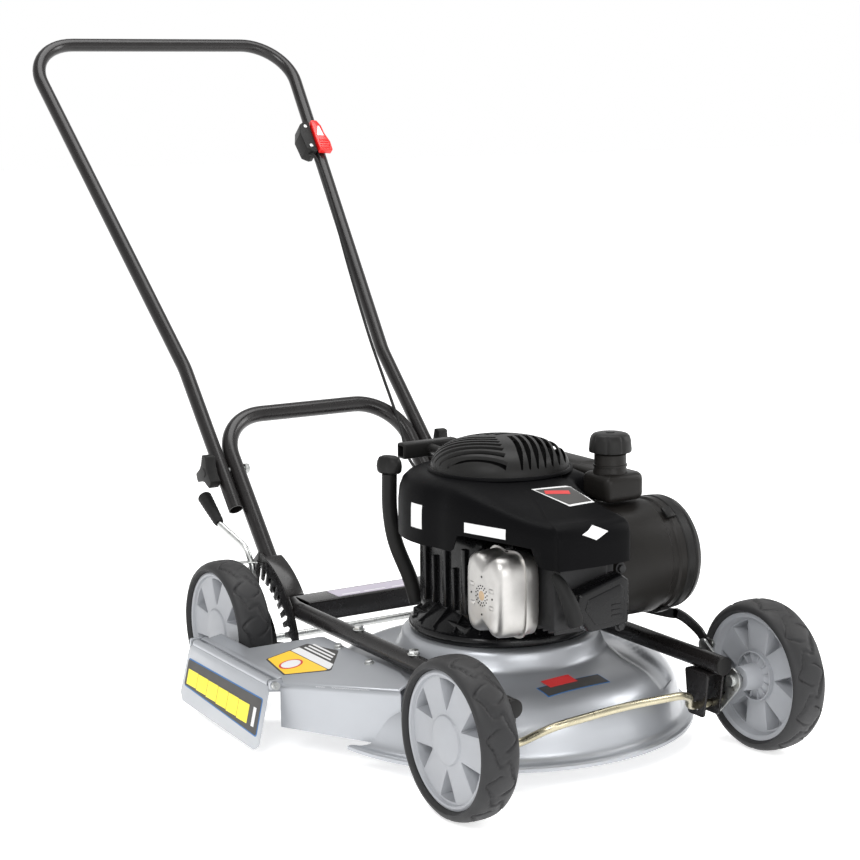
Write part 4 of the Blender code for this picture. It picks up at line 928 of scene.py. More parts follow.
def make_cross_member():
    half = RAIL_X - RAIL_RADIUS - CLEARANCE
    body = prism(rounded_outline(rectangle(0.535, 0.006, 0.585, 0.037), 0.0035), -half, half, "YZ")
    bore = prism(rounded_outline(rectangle(0.5372, 0.0082, 0.5828, 0.0348), 0.0025), -half - 0.01,
                 half + 0.01, "YZ")
    piece("cross_member", body, "tube", "chassis", ["rear_cross_member"], cut=[bore])
    sticker = rounded_outline(rectangle(-0.100, 0.5415, 0.030, 0.5785), 0.003)
    piece("cross_member_label", prism(sticker, 0.0369, 0.0373), "label_pale")
    for index, (x, wide) in enumerate(((-0.075, 0.030), (-0.035, 0.035), (0.005, 0.020))):
        stripe = box((x - wide / 2, 0.5475, 0.0372), (x + wide / 2, 0.5505, 0.03745))
        piece(f"cross_member_stripe_{index}", stripe, "label_white")


# ---------------------------------------------------------------- deck and chute
def recess(x, y):
    """How far the deck's top is pressed in, over the front left corner."""
    start, end = Vector((0.166, 0.235)), Vector((0.150, 0.060))
    bend = Vector((0.118, 0.130))
    spot = Vector((x, y))
    gap = min((spot - start.lerp(bend, t / 12).lerp(bend.lerp(end, t / 12), t / 12)).length
              for t in range(13))
    return 0.0065 * max(0.0, min(1.0, (0.026 - gap) / 0.010))


def make_deck():
    outer = [(0.1280, PAD_Z), (0.1335, 0.0405), (0.1375, 0.0300), (0.1430, 0.0185), (0.1500, 0.0140),
             (0.1650, 0.0098), (0.1850, 0.0068), (0.2030, 0.0032), (0.2170, -0.0030), (0.2280, -0.0120),
             (0.2360, -0.0230), (0.2405, -0.0360), (0.2440, -0.0520), (0.2475, -0.0640), (0.2535, -0.0690),
             (0.2600, -0.0695), (DECK_RIM_RADIUS, -0.0720)]
    smooth = [(p.x, p.y) for p in smooth_route([(r, z, 0) for r, z in outer], 4)]
    inner = []
    for index, (r, z) in enumerate(smooth):
        r2, z2 = smooth[min(index + 1, len(smooth) - 1)]
        r1, z1 = smooth[max(index - 1, 0)]
        ahead = Vector((r2 - r1, z2 - z1)).normalized()
        inner.append((r + ahead.y * DECK_SHEET, z - ahead.x * DECK_SHEET))
    profile = [(0.052, PAD_Z), *smooth, (DECK_RIM_RADIUS, DECK_RIM_Z), (0.2612, DECK_RIM_Z),
               *inner[::-1][1:], (0.052, PAD_Z - DECK_SHEET)]
    bm = turned(profile, (0, DECK_Y, 0), "Z", 240)
    for vert in bm.verts:
        if vert.co.z > -0.02:
            vert.co.z -= recess(vert.co.x, vert.co.y)
    mouth = prism([(-0.196, 0.150), (-0.330, 0.320), (-0.330, 0.560), (-0.178, 0.4655)], -0.10, -0.0065)
    piece("deck_shell", bm, "silver", "chassis", ["mower_deck"], smooth=40, cut=[mouth])
    bend = [(0.168, -0.0790), (0.192, -0.0790), (0.192, -0.0680), (0.1905, -0.0680), (0.1905, -0.0773),
            (0.1695, -0.0773), (0.1695, -0.0700), (0.168, -0.0700)]
    piece("skirt_bracket", prism(bend, -0.232, -0.196, "YZ"), "silver", bevel=0.0004)


def chute_top(x):
    """The height of the chute's sloping top."""
    return CHUTE_TOP_Z - CHUTE_SLOPE * (CHUTE_INNER_X - x)


def under_chute(outline, low, below):
    """A block from a flat bottom up to a depth below the chute's top."""
    bm = bmesh.new()
    rings = [[bm.verts.new((x, y, low)) for x, y in outline],
             [bm.verts.new((x, y, chute_top(x) - below)) for x, y in outline]]
    return ring_faces(bm, rings)


def on_chute(corners, height, thick=STICKER, radius=0.002):
    """A plate that lies along the chute's top."""
    bm = bmesh.new()
    flat = rounded_outline(corners, radius, 4) if radius else corners
    rings = [[bm.verts.new((x, y, chute_top(x) + h)) for x, y in flat] for h in (height, height + thick)]
    return ring_faces(bm, rings)


def make_chute():
    outline = [(CHUTE_INNER_X, 0.236), (-0.190, 0.190), (-0.212, 0.178), (CHUTE_MOUTH_X, 0.338),
               (CHUTE_MOUTH_X, 0.592), (-0.264, 0.592), (-0.264, 0.500), (-0.190, 0.458),
               (CHUTE_INNER_X, 0.440)]
    inside = [(-0.10, 0.1740), (-0.2097, 0.1787), (-0.2997, 0.3387), (-0.335, 0.3400), (-0.335, 0.5900),
              (-0.2660, 0.5900), (-0.2660, 0.4990), (-0.1912, 0.4560), (-0.10, 0.4040)]
    made = raw_object("chute_shell", under_chute(outline, CHUTE_FLOOR_Z, 0.0))
    edge = made.modifiers.new("edges", "BEVEL")
    edge.width = 0.0075
    edge.segments = 5
    edge.limit_method = "WEIGHT"
    weights = made.data.attributes.new("bevel_weight_edge", "FLOAT", "EDGE")
    for index, item in enumerate(made.data.edges):
        a, b = (made.data.vertices[v].co for v in item.vertices)
        top = min(a.z, b.z) > -0.05
        inner = max(a.x, b.x) > -0.1850
        weights.data[index].value = 1.0 if top and not inner else 0.0
    tool = raw_object("tool", under_chute(inside, CHUTE_FLOOR_Z - 0.02, CHUTE_SHEET))
    hollow = made.modifiers.new("hollow", "BOOLEAN")
    hollow.operation = "DIFFERENCE"
    hollow.object = tool
    settle(made, [tool])
    adopt(made, "silver", "chassis", ["discharge_chute"], 30)
    for index, y in enumerate((FLAP_PIN_Y[0] - 0.010, FLAP_PIN_Y[1] + 0.006)):
        ear = rounded_outline([(FLAP_PIN[0] - 0.0065, FLAP_PIN[1] - 0.0065),
                               (CHUTE_MOUTH_X + 0.006, FLAP_PIN[1] - 0.0065),
                               (CHUTE_MOUTH_X + 0.006, FLAP_PIN[1] + 0.0055),
                               (FLAP_PIN[0] - 0.0065, FLAP_PIN[1] + 0.0065)], 0.0028)
        piece(f"flap_ear_{index}", prism(ear, y, y + 0.004, "XZ"), "silver", bevel=0.0005)
    normal = Vector((-CHUTE_SLOPE, 0, 1))
    for index, (x, y) in enumerate(((-0.1870, 0.386), (-0.1890, 0.298))):
        hex_bolt(f"chute_bolt_{index}", (x, y, chute_top(x)), normal, 0.0050, 0.0048, washer=0.0068)
    channel = [(-0.2925, FLAP_PIN_Y[0] - 0.002), (-0.2925, FLAP_PIN_Y[1] + 0.004),
               (-0.3010, FLAP_PIN_Y[1] + 0.004), (-0.3010, FLAP_PIN_Y[0] - 0.002)]
    piece("hinge_channel", on_chute(channel, -0.0003, 0.0038, 0.0015), "silver", bevel=0.0010)
    border = [(-0.2850, 0.362), (-0.2740, 0.436), (-0.2080, 0.438), (-0.1930, 0.375), (-0.2350, 0.320)]
    piece("chute_label_edge", on_chute(border, 0.0, radius=0.004), "label_grey")
    amber = [(-0.2825, 0.3625), (-0.2720, 0.4335), (-0.2370, 0.4345), (-0.2370, 0.3250)]
    piece("chute_label_amber", on_chute(amber, 0.00025), "label_amber")
    white = [(-0.2355, 0.3235), (-0.2355, 0.4345), (-0.2225, 0.4348), (-0.2225, 0.3370)]
    piece("chute_label_white", on_chute(white, 0.00025), "label_white")
    for name, size, height, paint in (("ring", 0.0165, 0.0005, "label_red"),
                                      ("disc", 0.0135, 0.0007, "label_white")):
        circle = arc((-0.2600, 0.388), size, 0, 345, 23)
        piece(f"chute_label_{name}", on_chute(circle, height, 0.0002, 0), paint)
    for index in range(3):
        x = -0.2185 + index * 0.0065
        line = [(x, 0.352 + index * 0.006), (x, 0.428), (x + 0.0030, 0.428),
                (x + 0.0030, 0.355 + index * 0.006)]
        piece(f"chute_label_line_{index}", on_chute(line, 0.00025, radius=0.0005), "label_white")


def make_flap():
    x, z = FLAP_PIN
    low, high = FLAP_PIN_Y
    out = Vector((-math.sin(FLAP_TILT), 0, -math.cos(FLAP_TILT)))
    thick = Vector((math.cos(FLAP_TILT), 0, -math.sin(FLAP_TILT)))
    base = Vector((x, 0, z)) - thick * 0.0056

    def on_flap(corners, outside, depth=STICKER, radius=0.0):
        """A plate on the flap: corners are (along the hinge, down the flap)."""
        flat = rounded_outline(corners, radius, 5) if radius else corners
        bm = bmesh.new()
        rings = []
        for shift in (-outside - depth, -outside):
            rings.append([bm.verts.new(base + out * drop + Vector((0, y, 0)) + thick * shift) for y,
                          drop in flat])
        return ring_faces(bm, rings)

    face = [(low - 0.003, 0.003), (high + 0.002, 0.003), (high + 0.010, 0.012), (high + 0.012, 0.074),
            (high + 0.002, 0.084), (low + 0.004, 0.092), (low - 0.008, 0.084), (low - 0.008, 0.010)]
    piece("flap_plate", on_flap(face, -0.0016, 0.0016, 0.002), "silver", "chute_flap", ["chute_flap"],
          bevel=0.0004)
    sleeve = [(0.0034, low), (0.0060, low), (0.0060, high), (0.0034, high)]
    piece("flap_sleeve", turned(sleeve, (x, 0, z), "Y", 32), "silver", "chute_flap")
    pin = [(0.0, low - 0.018), (0.0052, low - 0.018), (0.0052, low - 0.0112), (0.0030, low - 0.0110),
           (0.0030, high + 0.013), (0.0, high + 0.013)]
    piece("flap_pin", turned(pin, (x, 0, z), "Y", 28), "zinc", "chassis", ["chute_flap_pin"])
    border = [(low + 0.002, 0.022), (high + 0.004, 0.022), (high + 0.004, 0.062), (low + 0.002, 0.075)]
    piece("flap_label_edge", on_flap(border, 0.0, radius=0.004), "label_blue", "chute_flap")
    panel = [(low + 0.0040, 0.0238), (high + 0.004, 0.0238), (high + 0.004, 0.0603), (low + 0.0040, 0.0732)]
    piece("flap_label_panel", on_flap(panel, 0.0002, radius=0.003), "label_grey", "chute_flap")
    count, first = 6, low + 0.034
    step = (high - 0.002 - first) / count
    for index in range(count):
        y = first + index * step
        lift = 0.010 * (high - y) / (high - low)
        square = rectangle(y + 0.0006, 0.0360 + lift * 0.3, y + step - 0.0006, 0.0565 + lift * 0.9)
        piece(f"flap_label_square_{index}", on_flap(square, 0.0004), "label_yellow", "chute_flap")
    tag = rectangle(low + 0.014, 0.038, low + 0.022, 0.064)
    piece("flap_label_tag", on_flap(tag, 0.0004), "label_white", "chute_flap")


RAIL_BOLT_Y = (0.224, 0.369)


def make_rail_bolts():
    top = RAIL_Z + RAIL_RADIUS
    for index, (side, y) in enumerate(((RIGHT, 0), (RIGHT, 1), (LEFT, 0), (LEFT, 1))):
        made = hex_bolt(f"rail_bolt_head_{index + 1}", (side * RAIL_X, RAIL_BOLT_Y[y], top - 0.0004),
                        (0, 0, 1),
                        0.0062, 0.0064)
        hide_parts(f"rail_bolt_{index + 1}")


# ---------------------------------------------------------------- engine
def soft_box(low, high, radius, segments=4):
    """A box with rounded edges, as a mesh that can be joined or cut."""
    bm = box(low, high)
    bmesh.ops.recalc_face_normals(bm, faces=bm.faces)
    bmesh.ops.bevel(bm, geom=list(bm.edges), offset=radius, segments=segments, profile=0.5, affect="EDGES",
                    clamp_overlap=True)
    return bm


def make_crankcase():
    flange = [(0.0, PAD_Z + 0.0003), (0.118, PAD_Z + 0.0003), (0.1235, 0.0450), (0.1250, 0.0475),
              (0.1250, 0.0530),
              (0.1230, 0.0560), (0.1180, 0.0575), (0.1120, 0.0640), (0.0860, 0.0800), (0.0, 0.0800)]
    body = turned(flange, ENGINE_AXIS, "Z", 120)
    piece("engine_base", body, "gloss", "chassis", ["crankcase"], bevel=0.0008,
          join=[soft_box((-0.088, 0.192, 0.060), (0.072, 0.345, 0.190), 0.018)],
          cut=[box((-0.076, 0.204, 0.030), (0.060, 0.333, 0.178))])
    for index in range(20):
        angle = math.radians(index * 18 + 7)
        bm = box((0.0835, -0.0012, 0.060), (0.1195, 0.0012, 0.0760))
        for vert in bm.verts:
            if vert.co.z > 0.07:
                vert.co.z = 0.0905 - (vert.co.x - 0.0835) * 0.80
        place = Matrix.Translation(ENGINE_AXIS) @ Matrix.Rotation(angle, 4, "Z")
        piece(f"base_rib_{index}", moved(bm, place), "gloss", bevel=0.0005)
    for index in range(6):
        angle = math.radians(index * 60 + 32)
        spot = ENGINE_AXIS + Vector((0.1145 * math.cos(angle), 0.1145 * math.sin(angle), 0.0570))
        hex_bolt(f"base_bolt_{index}", spot, (0, 0, 1), 0.0048, 0.0070, "gloss", 0.0075)
    for index, (y, z, wide) in enumerate(((0.215, 0.150, 0.010), (0.240, 0.120, 0.007), (0.262, 0.160, 0.009),
                                          (0.290, 0.128, 0.006), (0.312, 0.150, 0.008))):
        rib = soft_box((-0.0935, y - wide / 2, 0.082), (-0.0870, y + wide / 2, z + 0.02), 0.0015, 2)
        piece(f"case_rib_{index}", rib, "gloss")
    sump = soft_box((-0.1020, 0.2000, 0.0560), (-0.0840, 0.3300, 0.0700), 0.003, 2)
    piece("case_ledge", sump, "gloss")


def make_cylinder():
    core = soft_box((-0.056, 0.060, 0.086), (0.030, 0.1917, 0.170), 0.006, 2)
    piece("cylinder_block", core, "casting", "chassis", ["cylinder"])
    for fin in range(9):
        y = 0.064 + fin * 0.0125
        slab = soft_box((-0.052, y, 0.082), (0.040, y + 0.0028, 0.174), 0.0010, 1)
        piece(f"cylinder_fin_{fin}", slab, "casting")


def cover_plan():
    plan = [(-0.078, 0.036), (-0.064, 0.022), (0.024, 0.022), (0.042, 0.040), (0.046, 0.110), (0.060, 0.165),
            (0.098, 0.187)]
    plan += arc((0.0, DECK_Y), 0.138, 45, 200, 11)
    plan += [(-0.124, 0.180), (-0.100, 0.100)]
    return [(p.x, p.y) for p in smooth_route([(x, y, 0) for x, y in plan], 8, closed=True)]


def eased(value, low, high):
    """A smooth step from 0 at low to 1 at high."""
    t = max(0.0, min(1.0, (value - low) / (high - low)))
    return t * t * (3 - 2 * t)


def cover_skirt(x, y):
    """The cover's lower edge, which is cut away over the muffler."""
    over_muffler = eased(-x, 0.045, 0.060) * eased(y, 0.052, 0.064) * (1 - eased(y, 0.178, 0.190))
    return 0.176 + 0.024 * over_muffler


def make_cover():
    """The engine's top cover: a pressed sheet from its skirt, over its shoulder, to the air inlet."""
    plan = cover_plan()

    def forward(y):
        return eased(0.20 - y, 0.0, 0.17) * 1.12

    # scale of the plan about the crank axis, height over the chassis, and how far the front drops
    section = [(1.000, None, 0.0), (1.000, 0.205, 0.004), (0.998, 0.222, 0.008), (0.985, 0.238, 0.013),
               (0.955, 0.249, 0.018), (0.905, 0.2555, 0.022), (0.830, 0.2595, 0.024), (0.760, 0.2608, 0.018)]

    def ring(bm, scale, height, drop, wall):
        made = []
        for x, y in plan:
            out = Vector((x, y - DECK_Y))
            spot = out * scale - out.normalized() * wall
            z = cover_skirt(x, y) if height is None else height - drop * forward(y) - wall
            made.append(bm.verts.new((spot.x, spot.y + DECK_Y, z)))
        return made

    def inlet(bm, radius, height):
        spots = [Vector((x, y - DECK_Y)).normalized() * radius for x, y in plan]
        return [bm.verts.new((p.x, p.y + DECK_Y, height)) for p in spots]

    bm = bmesh.new()
    rings = [ring(bm, *row, 0.0) for row in section]
    rings += [inlet(bm, 0.093, 0.2612), inlet(bm, 0.078, 0.2614), inlet(bm, 0.078, 0.2590),
              inlet(bm, 0.091, 0.2588)]
    rings += [ring(bm, *row, COVER_SHEET) for row in section[::-1]]
    ring_faces(bm, rings, closed_path=True)
    return piece("engine_cover", bm, "cover", "chassis", ["blower_housing"], smooth=50)


DOME_RADIUS = 0.0935
DOME_SEAT_Z = 0.2616
DOME_SHEET = 0.0030


def dome_height(r):
    """The recoil cover's outer surface over the chassis, by distance from its middle."""
    share = min(r / DOME_RADIUS, 1.0)
    return 0.2660 + 0.0385 * math.sqrt(max(0.0, 1 - share ** 3.0)) - 0.0012 * share


def make_dome():
    """The recoil cover: a dome whose three fields of slots run parallel to one arm and end at the next."""
    outer = [(DOME_RADIUS * math.sin(math.pi / 2 * k / 28)) for k in range(29)]
    profile = [(r, dome_height(r)) for r in outer] + [
        (DOME_RADIUS + 0.0020, 0.2635), (DOME_RADIUS + 0.0020, DOME_SEAT_Z)]
    profile += [(DOME_RADIUS - 0.0010, DOME_SEAT_Z)]
    profile += [(max(r - 0.0022, 0.0), dome_height(r) - DOME_SHEET) for r in outer[::-1] if r > 0.0025]
    profile += [(0.0, dome_height(0) - DOME_SHEET)]
    slots = bmesh.new()
    for arm in range(3):
        blunt = 247 + arm * 120
        turn = Matrix.Translation(ENGINE_AXIS) @ Matrix.Rotation(math.radians(blunt - 120), 4, "Z")
        for index in range(7):
            offset = 0.0125 + index * 0.0112
            reach = math.sqrt(max(0.0915 ** 2 - offset ** 2, 0.0))
            start = -offset / math.tan(math.radians(60)) + 0.0085
            if reach - start < 0.012:
                continue
            middle = []
            for k in range(13):
                x = start + (reach - start) * k / 12
                middle.append((x, offset + 0.9 * (x - start) * (x - reach) * -1.0))
            half = [0.0037 * min(1.0, 0.35 + 3.0 * min(k, 12 - k) / 12 if k > 6 else 1.0) for k in range(13)]
            outline = [(x, y + h) for (x, y), h in zip(middle, half)]
            outline += [(x, y - h) for (x, y), h in zip(middle[::-1], half[::-1])]
            rings = [[slots.verts.new(turn @ Vector((x, y, z))) for x, y in outline]
                     for z in (0.2650, 0.3200)]
            ring_faces(slots, rings)
    piece("recoil_dome", turned(profile, ENGINE_AXIS, "Z", 120), "plastic", "chassis", ["recoil_cover"],
          cut=[slots], smooth=40)
    # a near-black disc under the slots: painted shade for the hollow seen through them
    slot_shade_profile = [(0.0, 0.2950), (0.040, 0.2925), (0.070, 0.2840), (0.086, 0.2700), (0.086, 0.2640),
              (0.0, 0.2640)]
    piece("dome_slot_shade", turned(slot_shade_profile, ENGINE_AXIS, "Z", 64), "dark")
    rim = [(DOME_RADIUS + 0.0005, 0.2614), (DOME_RADIUS + 0.0050, 0.2614), (DOME_RADIUS + 0.0042, 0.2640),
           (DOME_RADIUS + 0.0016, 0.2648)]
    piece("dome_rim", turned(rim, ENGINE_AXIS, "Z", 120), "cover")


def make_starter():
    centre = Vector((-0.024, 0.412, 0.2690))
    body, hollow = (soft_box(centre - half, centre + half, radius, segments) for half, radius, segments in (
        (Vector((0.045, 0.010, 0.011)), 0.0032, 3), (Vector((0.06, 0.0072, 0.0078)), 0.002, 2)))
    stub = sweep([centre - Vector((0, drop, 0)) for drop in (0.008, 0.020, 0.034, 0.043)], 0.007, 24,
                 [0.0078, 0.0070, 0.0064, 0.0058])
    piece("starter_handle", body, "plastic", "starter_grip", ["starter_grip"], cut=[hollow])
    piece("starter_stub", stub, "plastic", "starter_grip")
    start, end = centre - Vector((0, 0.052, 0.006)), centre - Vector((0, 0.040, 0))
    rope = raw_object("starter_cord", sweep([start.lerp(end, k / 60) for k in range(61)], 0.0021, 12))
    rope.data.transform(CHASSIS)
    rope.data.shade_smooth()
    rope.data.materials.append(FINISH["rope"])
    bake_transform(rope)
    eyelet = turned([(0.0030, -0.002), (0.0090, -0.002), (0.0095, 0.006), (0.0075, 0.008), (0.0030, 0.008)],
                    centre - Vector((0, 0.056, 0.006)), "Y", 32)
    piece("cord_eyelet", eyelet, "plastic")


def make_muffler():
    """A pressed box of two halves, pinched at its middle, with a seam flange and a drilled patch whose holes
    are near-black discs of painted shade.
    """
    middle_y, middle_z = 0.123, 0.132
    half_y, half_z = 0.0450, 0.0570

    def outline(inset, pinch):
        points = []
        for k in range(72):
            a = 2 * math.pi * k / 72
            c, s = math.cos(a), math.sin(a)
            y = math.copysign(abs(c) ** 0.45, c) * (half_y - inset)
            z = math.copysign(abs(s) ** 0.45, s) * (half_z - inset)
            waist = math.exp(-(y / 0.013) ** 2) * pinch
            z -= math.copysign(waist, s) * min(1.0, abs(s) * 1.4)
            points.append((middle_y + y, middle_z + z))
        return points

    outer_x, seam_x, inner_x = -0.1235, -0.0840, -0.0620
    section = [(inner_x, 0.0100, 0.001), (inner_x - 0.0010, 0.0055, 0.001), (inner_x - 0.0040, 0.0030, 0.002),
               (seam_x + 0.0014, 0.0026, 0.003), (seam_x + 0.0012, 0.0, 0.003), (seam_x - 0.0012, 0.0, 0.003),
               (seam_x - 0.0014, 0.0028, 0.004), (outer_x + 0.0200, 0.0034, 0.007),
               (outer_x + 0.0090, 0.0042, 0.011),
               (outer_x + 0.0040, 0.0066, 0.014), (outer_x + 0.0010, 0.0110, 0.015), (outer_x, 0.0160, 0.013)]
    bm = bmesh.new()
    ring_faces(bm, [[bm.verts.new((x, y, z)) for y, z in outline(inset, pinch)] for x, inset,
                    pinch in section])
    piece("muffler_shell", bm, "aluminium", "chassis", ["muffler"], smooth=50)
    patch = [(0.0, outer_x + 0.0004), (0.0, outer_x - 0.0002), (0.0150, outer_x - 0.0002),
             (0.0172, outer_x + 0.0004)]
    piece("muffler_patch", turned(patch, (0, middle_y, middle_z), "X", 48), "aluminium")
    tint = [(0.0, outer_x), (0.0, outer_x - 0.0004), (0.0062, outer_x - 0.0004), (0.0066, outer_x)]
    piece("muffler_tint", turned(tint, (0, middle_y, middle_z), "X", 32), "heat_tint")
    # near-black discs of painted shade in the patch's drilled holes, and four smaller near-black dots of
    # painted shade round it
    holes = bmesh.new()
    for radius, count, shift in ((0.0095, 12, 0.0), (0.0130, 16, 0.2)):
        for k in range(count):
            a = 2 * math.pi * k / count + shift
            spot = (middle_y + radius * math.cos(a), middle_z + radius * math.sin(a))
            prism(arc(spot, 0.0010, 0, 300, 5), outer_x - 0.0006, outer_x, "YZ", bm=holes)
    for dy, dz in ((0.0, 0.0245), (0.0, -0.0245), (0.0240, 0.0), (-0.0240, 0.0)):
        prism(arc((middle_y + dy, middle_z + dz), 0.0014, 0, 315, 7), outer_x - 0.0004, outer_x + 0.0002,
              "YZ",
              bm=holes)
    piece("muffler_hole_shade", holes, "dark")
    for index, (dy, dz) in enumerate(((-0.022, 0.010), (-0.022, -0.012), (0.022, 0.012), (0.021, -0.013))):
        low = Vector((outer_x - 0.0012, middle_y + dy - 0.005, middle_z + dz - 0.0030))
        high = Vector((outer_x + 0.0020, middle_y + dy + 0.005, middle_z + dz + 0.0030))
        piece(f"muffler_dimple_{index}", soft_box(low, high, 0.0014, 3), "aluminium")
    hex_bolt("muffler_bolt", (-0.0800, 0.1230, 0.1860), (-0.4, 0, 1), 0.0050, 0.0050, "casting", 0.0070)


def make_tank():
    body = soft_box((0.1015, 0.226, 0.085), (0.150, 0.372, 0.262), 0.014)
    bridge = soft_box((0.1000, 0.140, 0.2290), (0.1490, 0.252, 0.2600), 0.010)
    block = soft_box((0.0700, 0.118, 0.2270), (0.1320, 0.178, 0.2640), 0.010)
    neck = turned([(0.0, 0.256), (0.0235, 0.256), (0.0225, 0.2665), (0.0212, 0.2700), (0.0212, 0.2880),
                   (0.0190, 0.2900), (0.0, 0.2900)], FUEL_NECK, "Z", 56)
    bore = drum(0.0175, 0.245, 0.300, FUEL_NECK, "Z", 40)
    piece("fuel_tank_shell", body, "tank", "chassis", ["fuel_tank"], join=[bridge, block, neck], cut=[bore])
    seam = turned([(0.0208, 0.2715), (0.0224, 0.2720), (0.0224, 0.2745), (0.0208, 0.2750)], FUEL_NECK, "Z",
                  56)
    piece("neck_ring", seam, "tank")

    def fluted(angle, r, h):
        if r < 0.024 or h > 0.3125:
            return 1.0
        return 1.0 - 0.045 * max(0.0, math.cos(8 * angle)) ** 6

    cap = [(0.0, 0.3168), (0.010, 0.3168), (0.0185, 0.3163), (0.0228, 0.3150), (0.0256, 0.3122),
           (0.0272, 0.3070),
           (0.0284, 0.2945), (0.0280, 0.2915), (0.0255, 0.2908), (0.0232, 0.2912), (0.0226, 0.3080),
           (0.0, 0.3080)]
    piece("filler_cap", turned(cap, FUEL_NECK, "Z", 144, fluted), "plastic", "fuel_cap", ["fuel_cap"],
          smooth=50)
    star = turned([(0.0, 0.3164), (0.0060, 0.3164), (0.0060, 0.3176), (0.0, 0.3178)], FUEL_NECK, "Z", 36)
    piece("cap_button", star, "plastic", "fuel_cap")


def make_air_cleaner():
    x, y, z = AIR_FILTER
    barrel = [(0.0, -0.148), (0.066, -0.148), (0.0745, -0.142), (0.0765, -0.134), (0.0770, -0.0560),
            (0.0745, -0.0530),
              (0.0745, -0.0440), (0.0770, -0.0410), (0.0770, -0.0325), (0.070, -0.0325), (0.070, -0.0590),
              (0.0, -0.0590)]
    piece("air_cleaner_drum", turned(barrel, (x, y, z), "X", 120), "tank", "chassis", ["air_filter_base"],
          smooth=30)
    shell = [(0.0, -0.0035), (0.0, 0.0), (0.042, 0.0), (0.0600, -0.0006), (0.0690, -0.0030),
             (0.0745, -0.0078),
             (0.0770, -0.0140), (0.0758, -0.0165), (0.0775, -0.0190), (0.0780, -0.0300), (0.0765, -0.0316),
             (0.0742, -0.0316), (0.0735, -0.0150), (0.069, -0.0085), (0.058, -0.0038)]
    piece("air_cleaner_lid", turned(shell, (x, y, z), "X", 120), "plastic", "air_filter_cover",
          ["air_filter_cover"], smooth=30)
    for index, turn in enumerate((35, 155, 215, 325)):
        angle = math.radians(turn)
        radius = 0.0775
        bm = soft_box((-0.0480, -0.0085, -0.0012), (-0.0335, 0.0085, 0.0030), 0.0012, 2)
        place = Matrix.Translation((x, y, z)) @ Matrix.Rotation(angle, 4,
                                                                "X") @ Matrix.Translation((0, 0, radius))
        piece(f"lid_clip_{index}", moved(bm, place), "plastic")
    for index, radius in enumerate((0.030, 0.048)):
        bead = turned([(radius - 0.0014, -0.0002), (radius, 0.0009), (radius + 0.0014, -0.0002)],
                      (x, y, z), "X", 96)
        piece(f"lid_bead_{index}", bead, "plastic", "air_filter_cover")


def make_fittings():
    """Valve cover, ignition lead, oil filler and the engine's small screws."""
    cover = [(-0.043, 0.120), (-0.036, 0.140), (0.030, 0.158), (0.041, 0.150), (0.041, 0.092),
             (-0.020, 0.088)]
    piece("rocker_cover", prism(rounded_outline(cover, 0.006), 0.0312, 0.0575, "XZ"), "gloss", "chassis",
          ["valve_cover"], bevel=0.0045, segments=4)
    inner = [(-0.029, 0.1190), (-0.024, 0.1320), (0.026, 0.1455), (0.033, 0.1400), (0.033, 0.1000),
             (-0.013, 0.0975)]
    piece("rocker_panel", prism(rounded_outline(inner, 0.004), 0.0303, 0.0330, "XZ"), "gloss",
          bevel=0.0012, segments=3)
    for index in range(3):
        low = 0.1045 + index * 0.0068
        bar = soft_box((0.012, 0.0296, low), (0.029, 0.0312, low + 0.0030), 0.0006, 2)
        piece(f"rocker_bar_{index}", bar, "gloss")
    for index, (x, z) in enumerate(((-0.040, 0.1000), (0.0375, 0.0860), (0.0385, 0.1610))):
        hex_bolt(f"rocker_bolt_{index}", (x, 0.0480, z), (0, -1, 0), 0.0050, 0.0060, "casting", 0.0078)
    boot = smooth_route([(-0.062, 0.052, 0.166), (-0.057, 0.041, 0.151), (-0.053, 0.027, 0.127),
                         (-0.050, 0.020, 0.104)], 8)
    count = len(boot) - 1
    radii = [0.0042 + 0.0066 * min(1.0, (k / count) * 1.5) ** 0.7 for k in range(count + 1)]
    radii[-1] = 0.0088
    piece("plug_boot", sweep(boot, 0.01, 28, radii), "grip", "chassis", ["spark_plug_boot"])
    lead = smooth_route([(-0.058, 0.048, 0.166), (-0.062, 0.056, 0.178), (-0.058, 0.075, 0.192),
                         (-0.050, 0.100, 0.205)], 8)
    piece("ignition_lead", sweep(lead, 0.0036, 16), "grip")
    filler = smooth_route([(-0.076, 0.362, 0.066), (-0.083, 0.368, 0.100), (-0.100, 0.376, 0.150),
                           (-0.106, 0.380, 0.195), (-0.106, 0.380, 0.246)], 8)
    piece("oil_filler", pipe(filler, 0.0105, 0.0016, 32), "plastic", "chassis", ["oil_filler_tube"])
    top = Vector((-0.106, 0.380, 0.2465))
    grasp = math.radians(115)

    def oval(angle, r, h):
        return 1.0 + 0.30 * math.cos(2 * (angle - grasp)) if h > 0.0005 else 1.0

    cap = [(0.0, 0.0250), (0.0075, 0.0248), (0.0118, 0.0225), (0.0140, 0.0170), (0.0148, 0.0100),
           (0.0140, 0.0035),
           (0.0120, 0.0008), (0.0080, 0.0004), (0.0078, -0.0300), (0.0, -0.0300)]
    piece("dipstick_knob", turned(cap, top, "Z", 64, oval), "plastic", "dipstick_cap", ["dipstick_cap"],
          smooth=60)


